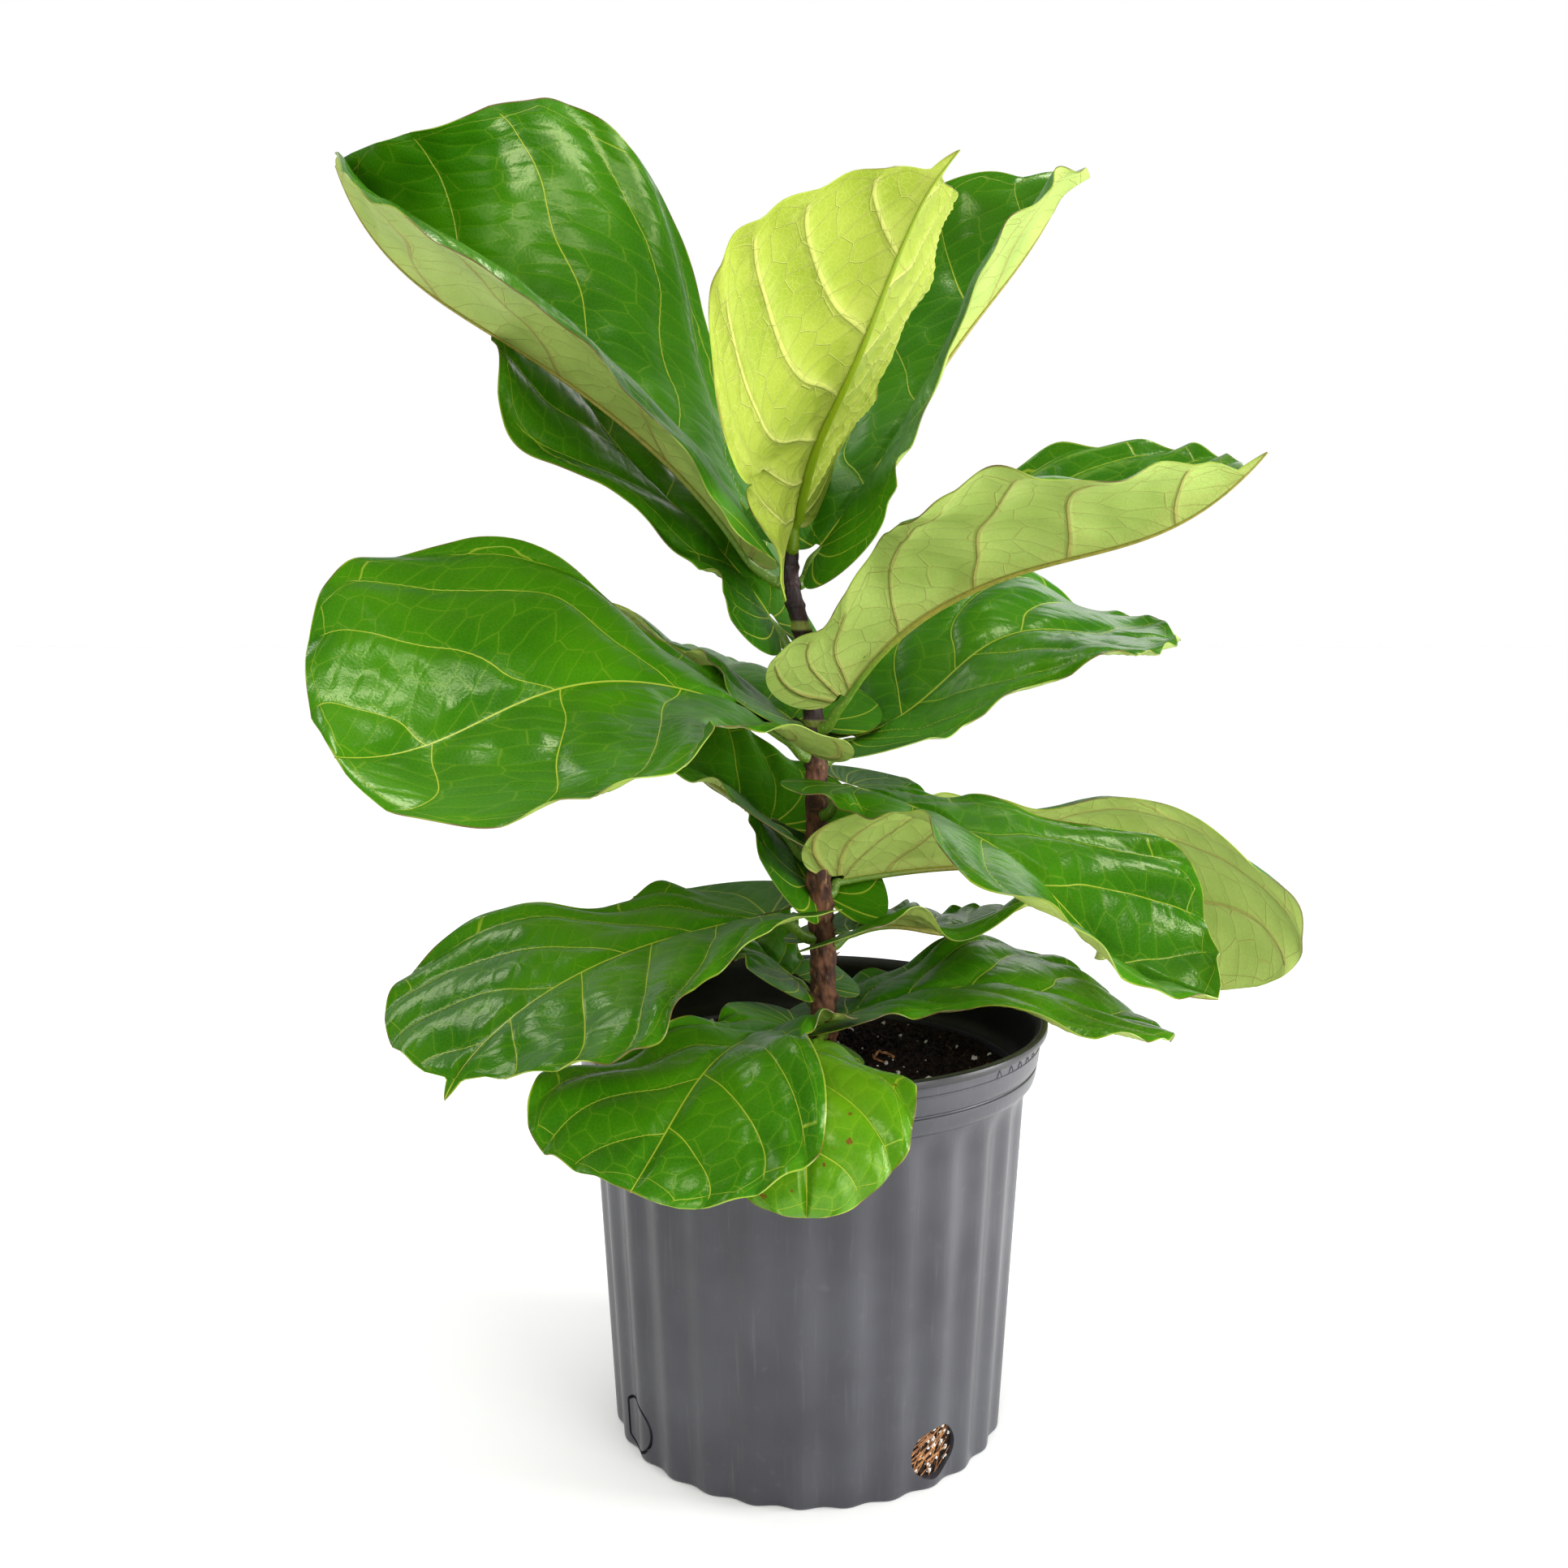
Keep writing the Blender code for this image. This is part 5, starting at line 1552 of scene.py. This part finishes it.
@dataclass
class PottingMix:
    """Dark damp mix with bark chips, white grains and root ends, on top and at the drain hole."""

    edge_z: float = 0.2045
    rise: float = 0.0125
    reach: float = 0.121
    lump: float = 0.0012
    wall: float = 0.0003
    wall_z: tuple = (0.0033, 0.1, 0.2)
    top_rings: int = 84
    sides: int = 320
    chips: Crumbs = Crumbs(900, 70, 0.0002, (-3.15, -2.62), 1, 0.14)
    grains: Crumbs = Crumbs(150, 46, -0.0004, (-3.30, -2.52), 2, 0.17)
    lowest_root: float = 0.0045
    roots: int = 16
    hole_roots: int = 30
    root_points: int = 18
    curl_place: tuple = (0.043, -0.012, 0.0)
    seed: int = 41

    def height(self, x: np.ndarray, y: np.ndarray) -> np.ndarray:
        """A low mound to the stem, long lumps, and crumbs of two sizes.

        Args:
            x: Places to the right.
            y: Places to the back.

        Returns:
            The height of the mix at each place.
        """
        radius = np.hypot(x, y)
        angles = np.arctan2(y, x)
        mound = self.rise * np.clip(1.0 - (radius / self.reach)**2, 0.0, 1.0)**1.5
        lumps = (np.sin(5 * angles + 90 * radius) + np.sin(9 * angles - 150 * radius + 1.3)
                 + np.sin(14 * angles + 260 * radius + 0.4)) / 3.0
        spot = np.stack([x, y], -1)
        crumbs = swell(spot, 0.009, 5, 24) * 0.0011 + swell(spot, 0.0042, 6, 30) * 0.0008
        return self.edge_z + mound + self.lump * lumps + crumbs * smooth((0.1215 - radius) / 0.004)

    def mound(self) -> tuple:
        """A closed body: underside, straight side, and the lumpy top on a polar grid."""
        angles = turns(self.sides)
        zs = np.array(self.wall_z)[:, None]
        radii = pot_inside(zs) - self.wall
        top = np.linspace(radii[-1, 0] - 0.0004, 0.003, self.top_rings)[:, None]
        x, y = top * np.cos(angles), top * np.sin(angles)
        rings = np.concatenate([polar(radii, angles, zs), np.stack([x, y, self.height(x, y)], -1)])
        summit = float(self.height(np.zeros(1), np.zeros(1))[0])
        return capped(rings, (0.0, 0.0, self.wall_z[0]), (0.0, 0.0, summit))

    @staticmethod
    def pebble(level: int) -> tuple[np.ndarray, np.ndarray]:
        """A small ball: rings of points from pole to pole, closed by a fan at each pole.

        Args:
            level: Fineness, 1 for a chip and 2 for a rounder grain.

        Returns:
            Points on the unit ball and triangles.
        """
        rings = 2 * level + 1
        fall = (np.pi * (np.arange(rings) + 1) / (rings + 1))[:, None]
        ball = polar(np.sin(fall), turns(4 * level + 2), np.cos(fall))
        points, (quads, *fans) = capped(ball, (0.0, 0.0, 1.0), (0.0, 0.0, -1.0))
        halves = [quads[:, [3, 2, 1]], quads[:, [3, 1, 0]]]
        return points, np.concatenate([*halves, *(fan[:, ::-1] for fan in fans)])

    def scatter(self, rng: np.random.Generator, places: np.ndarray, sizes: np.ndarray,
                crumbs: Crumbs) -> tuple[np.ndarray, np.ndarray, np.ndarray]:
        """Copies of a ball, each stretched, dented and turned its own way, in one array.

        Args:
            rng: The seeded generator.
            places: Centre of each copy.
            sizes: Half sizes of each copy along three axes.
            crumbs: Fineness of the ball and how much each point is pushed in or out.

        Returns:
            Points, faces, and one random number a point for its tint.
        """
        ball, faces = self.pebble(crumbs.fineness)
        count = len(places)
        dents = 1.0 + crumbs.rough * rng.normal(size=(count, len(ball), 1))
        a = unit(rng.normal(size=(count, 3)))
        b = unit(np.cross(a, unit(rng.normal(size=(count, 3)))))
        turn = np.stack([a, b, np.cross(a, b)], 1)
        points = (ball[None] * dents * sizes[:, None]) @ turn + places[:, None]
        numbers = faces[None] + (np.arange(count) * len(ball))[:, None, None]
        tint = np.repeat(rng.uniform(0.0, 1.0, count), len(ball))
        return points.reshape(-1, 3), numbers.reshape(-1, 3), tint

    def spots(self, rng: np.random.Generator, count: int, sink: float) -> np.ndarray:
        """Random places on the mound, clear of the stem.

        Args:
            rng: The seeded generator.
            count: How many.
            sink: How far below the surface.

        Returns:
            The places.
        """
        radius = 0.1185 * np.sqrt(rng.uniform(0.012, 1.0, count))
        angle = rng.uniform(0.0, 2.0 * np.pi, count)
        x, y = radius * np.cos(angle), radius * np.sin(angle)
        return np.stack([x, y, self.height(x, y) - sink], -1)

    @staticmethod
    def hole_spots(rng: np.random.Generator, count: int) -> np.ndarray:
        """Random places on the mix just inside the drain hole.

        Args:
            rng: The seeded generator.
            count: How many.

        Returns:
            The places.
        """
        radius = DRAIN_RADIUS * np.sqrt(rng.uniform(0.0, 1.0, count))
        angle = rng.uniform(0.0, 2.0 * np.pi, count)
        heading = np.radians(DRAIN_HEADING) + radius * np.cos(angle) / DRAIN_DEPTH
        z = DRAIN_Z + radius * np.sin(angle)
        return polar(pot_inside(z) - 0.0006, heading, z)

    def root_paths(self, rng: np.random.Generator) -> list[tuple[np.ndarray, float]]:
        """Bent root ends: some lie on the mound, one curls up, and some cross the drain hole.

        Args:
            rng: The seeded generator.

        Returns:
            The centre line and the radius of each.
        """
        count = self.root_points
        t = np.linspace(0.0, 1.0, count)
        paths = []
        for _ in range(self.roots):
            start = self.spots(rng, 1, 0.0)[0]
            heading = rng.uniform(0.0, 2.0 * np.pi) + np.cumsum(rng.normal(0.0, 0.28, count))
            step = rng.uniform(0.008, 0.022) / count
            x = start[0] + np.cumsum(np.cos(heading)) * step
            y = start[1] + np.cumsum(np.sin(heading)) * step
            keep = np.hypot(x, y) < 0.118
            x, y = x[keep], y[keep]
            if len(x) > 6:
                path = np.stack([x, y, self.height(x, y) + 0.0008 * np.sin(np.pi * t[:len(x)])], -1)
                paths.append((path, rng.uniform(0.0003, 0.0006)))
        turn = np.linspace(0.3, 5.0, count)
        oval = np.stack([0.006 * np.cos(turn), 0.004 * np.sin(turn), 0.0 * turn], -1)
        curl = np.array(self.curl_place) + oval
        curl[:, 2] = self.height(curl[:, 0], curl[:, 1]) + 0.0022 + 0.0016 * np.sin(turn)
        paths.append((curl, 0.0010))
        for _ in range(self.hole_roots):
            z = DRAIN_Z + rng.uniform(-0.9, 0.9) * DRAIN_RADIUS
            slant = rng.normal(0.7, 0.28)
            u = np.linspace(-1.0, 1.0, count) * DRAIN_RADIUS * rng.uniform(0.5, 1.1)
            bow = 0.0015 * np.sin(np.linspace(0.0, 3.1, count) + rng.uniform(0.0, 2.0))
            side = rng.uniform(-0.7, 0.5) * DRAIN_RADIUS + u * np.cos(slant) + bow
            high = z + u * np.sin(slant) * 0.8
            reach = pot_inside(high) - 0.0002 + rng.uniform(-0.0004, 0.0006)
            path = polar(reach, np.radians(DRAIN_HEADING) + side / DRAIN_DEPTH, high)
            paths.append((path, rng.uniform(0.0003, 0.0007)))
        return paths

    @staticmethod
    def soil() -> bpy.types.Material:
        """Near-black damp crumbs with a few brown ones."""
        g = Graph.skin("mix_soil")
        spot = g.place()
        tone = g.noise(spot, 240.0, 4.0)
        colour = g.mix(g.rise(tone, 0.4, 0.7), (0.007, 0.004, 0.003), (0.026, 0.013, 0.008))
        colour = g.mix(g.rise(g.noise(spot, 700.0, 2.0), 0.62, 0.74, 0.0, 0.7), colour, (0.10, 0.05, 0.03))
        height = g.line(g.cells(spot, 420.0, "F1", flat=False), -0.8, tone)
        return g.finish(colour, 0.85, height, 0.0022, 1.0, Specular_IOR_Level=0.2)

    @staticmethod
    def chip_skin() -> bpy.types.Material:
        """Bark chips from near black to red-brown, by each chip's own number."""
        g = Graph.skin("mix_bark_chip")
        tint = g.value("tint")
        grain = g.noise(g.scaled(g.place(), (1.0, 1.0, 2.2)), 620.0, 3.0)
        colour = g.mix(g.rise(tint, 0.1, 0.8), (0.009, 0.005, 0.004), (0.045, 0.018, 0.009))
        colour = g.mix(g.rise(tint, 0.82, 0.97), colour, (0.20, 0.075, 0.028))
        colour = g.mix(g.rise(grain, 0.5, 0.8, 0.0, 0.5), colour, (0.09, 0.045, 0.025))
        return g.finish(colour, 0.75, grain, 0.0006, 0.8, Specular_IOR_Level=0.25)

    @staticmethod
    def grain_skin() -> bpy.types.Material:
        """White foamy grains, a little dirty."""
        g = Graph.skin("mix_white_grain")
        dirt = g.noise(g.place(), 480.0, 3.0)
        colour = g.mix(g.rise(dirt, 0.45, 0.7), (0.72, 0.70, 0.65), (0.36, 0.31, 0.24))
        return g.finish(colour, 0.8, dirt, 0.0005, 0.8)

    @staticmethod
    def root_skin() -> bpy.types.Material:
        """Orange-brown root skin."""
        g = Graph.skin("mix_root")
        tone = g.noise(g.place(), 260.0, 3.0)
        colour = g.mix(g.rise(tone, 0.35, 0.65), (0.16, 0.06, 0.02), (0.42, 0.19, 0.06))
        return g.finish(colour, 0.62, tone, 0.0004, 0.6)

    def strewn(self, rng: np.random.Generator, crumbs: Crumbs) -> tuple[np.ndarray, np.ndarray]:
        """Places and sizes of loose crumbs, on the mound and behind the drain hole.

        Args:
            rng: The seeded generator.
            crumbs: What kind they are.

        Returns:
            Centres, and the longest half size of each.
        """
        places = np.concatenate([self.spots(rng, crumbs.count, crumbs.sink),
                                 self.hole_spots(rng, crumbs.at_hole)])
        big = 10.0 ** rng.uniform(*crumbs.powers, len(places))
        big[crumbs.count:] = rng.uniform(*crumbs.hole_sizes, crumbs.at_hole)
        return places, big

    def build(self) -> list[bpy.types.Object]:
        """Make the mound, chips, grains and roots, which stand for the CAD node."""
        rng = np.random.default_rng(self.seed)
        made = [Body.of(*self.mound()).make("mix_mound", [self.soil()], 70.0)]
        places, big = self.strewn(rng, self.chips)
        sizes = big[:, None] * np.stack([np.ones(len(places)), rng.uniform(0.45, 0.9, len(places)),
                                         rng.uniform(0.18, 0.5, len(places))], -1)
        points, faces, tint = self.scatter(rng, places, sizes, self.chips)
        made.append(Body.of(points, [faces]).make("mix_chips", [self.chip_skin()], 25.0))
        give_values(made[-1], "tint", tint)
        places, big = self.strewn(rng, self.grains)
        sizes = big[:, None] * rng.uniform(0.45, 1.0, (len(places), 3))
        points, faces, _ = self.scatter(rng, places, sizes, self.grains)
        made.append(Body.of(points, [faces]).make("mix_white_grains", [self.grain_skin()], 60.0))
        roots = Body()
        for path, radius in self.root_paths(rng):
            path[:, 2] = np.maximum(path[:, 2], self.lowest_root)
            roots.add(*strand(path, radius * np.linspace(1.0, 0.5, len(path))))
        made.append(roots.make("mix_roots", [self.root_skin()], 60.0))
        return dress(made, "potting_mix")


@dataclass(frozen=True)
class SoftBox:
    """A rectangular light: where it stands, its width and height, and its power in watts."""

    place: tuple
    size: tuple
    power: float

    def build(self, name: str, aim: tuple) -> None:
        """Make the light so that it faces a point.

        Args:
            name: The light's name.
            aim: The point it faces.
        """
        lamp = bpy.data.lights.new(name, "AREA")
        lamp.shape = "RECTANGLE"
        lamp.size, lamp.size_y = self.size
        lamp.energy = self.power
        item = bpy.data.objects.new(name, lamp)
        bpy.context.scene.collection.objects.link(item)
        away = unit(np.array(self.place) - np.array(aim))
        right = unit(np.cross(UP, away))
        axes = zip(right, np.cross(away, right), away, self.place)
        item.matrix_world = Matrix([*axes, (0.0, 0.0, 0.0, 1.0)])


BOXES = {
    "top_box": SoftBox((0.30, 0.14, 1.90), (0.50, 0.35), 9.0),
    "right_box": SoftBox((1.13, -1.35, 0.58), (0.9, 0.9), 14.0),
    "side_box": SoftBox((1.30, -0.20, 0.50), (0.50, 0.80), 15.0),
    "front_box": SoftBox((-0.35, -1.75, 1.35), (0.6, 0.5), 7.0),
    "left_box": SoftBox((-0.95, 0.75, 1.75), (0.5, 0.4), 3.5),
}


@dataclass
class Studio:
    """The pale floor, the soft lights, the white surroundings and the camera."""

    eye: tuple = (-0.0144, -0.900, 0.498)
    tilt: float = 7.82
    focal_pixels: float = 1963.0
    frame_pixels: float = 1932.0
    sensor: float = 36.0
    aim: tuple = (0.0, 0.0, 0.42)
    half_floor: float = 9.0
    white: float = 1.0
    glow: float = 1.12
    dark_side: float = 0.02
    bright_side: float = 0.45
    fade: tuple = (-0.1, 0.6)
    lift: float = -0.7
    patch: tuple = (0.31, 0.86, 0.40)
    patch_rim: tuple = (0.965, 0.992)
    patch_glow: float = 1.1

    def floor(self) -> None:
        """A wide level floor in a pale plain finish."""
        corners = np.array([[-1.0, -1.0, 0.0], [1.0, -1.0, 0.0], [1.0, 1.0, 0.0], [-1.0, 1.0, 0.0]])
        g = Graph.skin("studio_floor")
        tone = g.noise(g.place(), 1.5, 2.0)
        skin = g.finish(g.mix(tone, (0.94, 0.94, 0.94), (0.96, 0.96, 0.96)), 1.0)
        Body.of(corners * self.half_floor, [np.array([[0, 1, 2, 3]])]).make("studio_floor", [skin])

    def surroundings(self) -> None:
        """White to the camera and as soft light; in reflections only the backdrop side is bright.

        The mirrored strength rises towards the backdrop and falls with height, and one more bright
        patch lies round a direction up behind the plant.
        """
        world = bpy.data.worlds.new("studio")
        g = Graph(world)
        way = g.node("TexCoord").outputs["Generated"]
        _, y, z = g.split(way)
        near = g.wired("VectorMath", {0: way, 1: tuple(unit(np.array(self.patch)))}, "Value",
                       operation="DOT_PRODUCT")
        mirrored = g.plus(g.rise(g.line(z, self.lift, y), *self.fade, self.dark_side, self.bright_side),
                          g.rise(near, *self.patch_rim, 0.0, self.patch_glow))
        seen, soft, glossy = (g.wired("Background", {"Color": (1.0, 1.0, 1.0), "Strength": strength})
                              for strength in (self.white, self.glow, mirrored))
        rays = g.node("LightPath").outputs
        light = g.wired("MixShader", {0: rays["Is Glossy Ray"], 1: soft, 2: glossy})
        light = g.wired("MixShader", {0: rays["Is Camera Ray"], 1: light, 2: seen})
        g.put(light, g.node("OutputWorld").inputs["Surface"])
        world.cycles.sampling_method = "NONE"
        bpy.context.scene.world = world

    def camera(self) -> None:
        """The photograph's view: from the front at the height of the leaves, a little downwards."""
        lens = bpy.data.cameras.new("photo_view")
        lens.sensor_width = self.sensor
        lens.lens = self.focal_pixels / self.frame_pixels * self.sensor
        lens.clip_start = 0.01
        item = bpy.data.objects.new("photo_view", lens)
        item.location = self.eye
        item.rotation_euler = (np.radians(90.0 - self.tilt), 0.0, 0.0)
        bpy.context.scene.collection.objects.link(item)
        bpy.context.scene.camera = item

    def build(self) -> None:
        """Set up everything round the plant."""
        self.floor()
        self.surroundings()
        self.camera()
        for name, box in BOXES.items():
            box.build(name, self.aim)
        bpy.context.scene.view_settings.view_transform = "Standard"

@dataclass
class Foliage:
    """All leaves, each dressed by its look."""

    leaves: dict[str, Leaf]
    first_seed: int = 101

    def build(self) -> list[bpy.types.Object]:
        """Make each leaf, which stands for its CAD node of the same name."""
        skins = {look: [finish.top(), finish.underside(), finish.edge(), finish.stem()]
                 for look, finish in FINISHES.items()}
        made = []
        for seed, (node, leaf) in enumerate(self.leaves.items(), self.first_seed):
            piece = Blade(leaf, seed).mesh(f"fig_{node}", skins[leaf.look])
            made += dress([piece], node)
        return made


def main() -> None:
    """Build the plant and its studio, and report each piece."""
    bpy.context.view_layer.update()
    parts = {
        "pot": Pot().build(),
        "potting mix": PottingMix().build(),
        "stem": Stem().build(),
        "leaves": Foliage(LEAVES).build(),
    }
    for name, pieces in parts.items():
        for piece in pieces:
            LOG.info("%s: %s, %d faces", name, piece.name, len(piece.data.polygons))
    Studio().build()


if __name__ == "__main__":
    logging.basicConfig(level=logging.INFO, format="%(message)s")
    main()
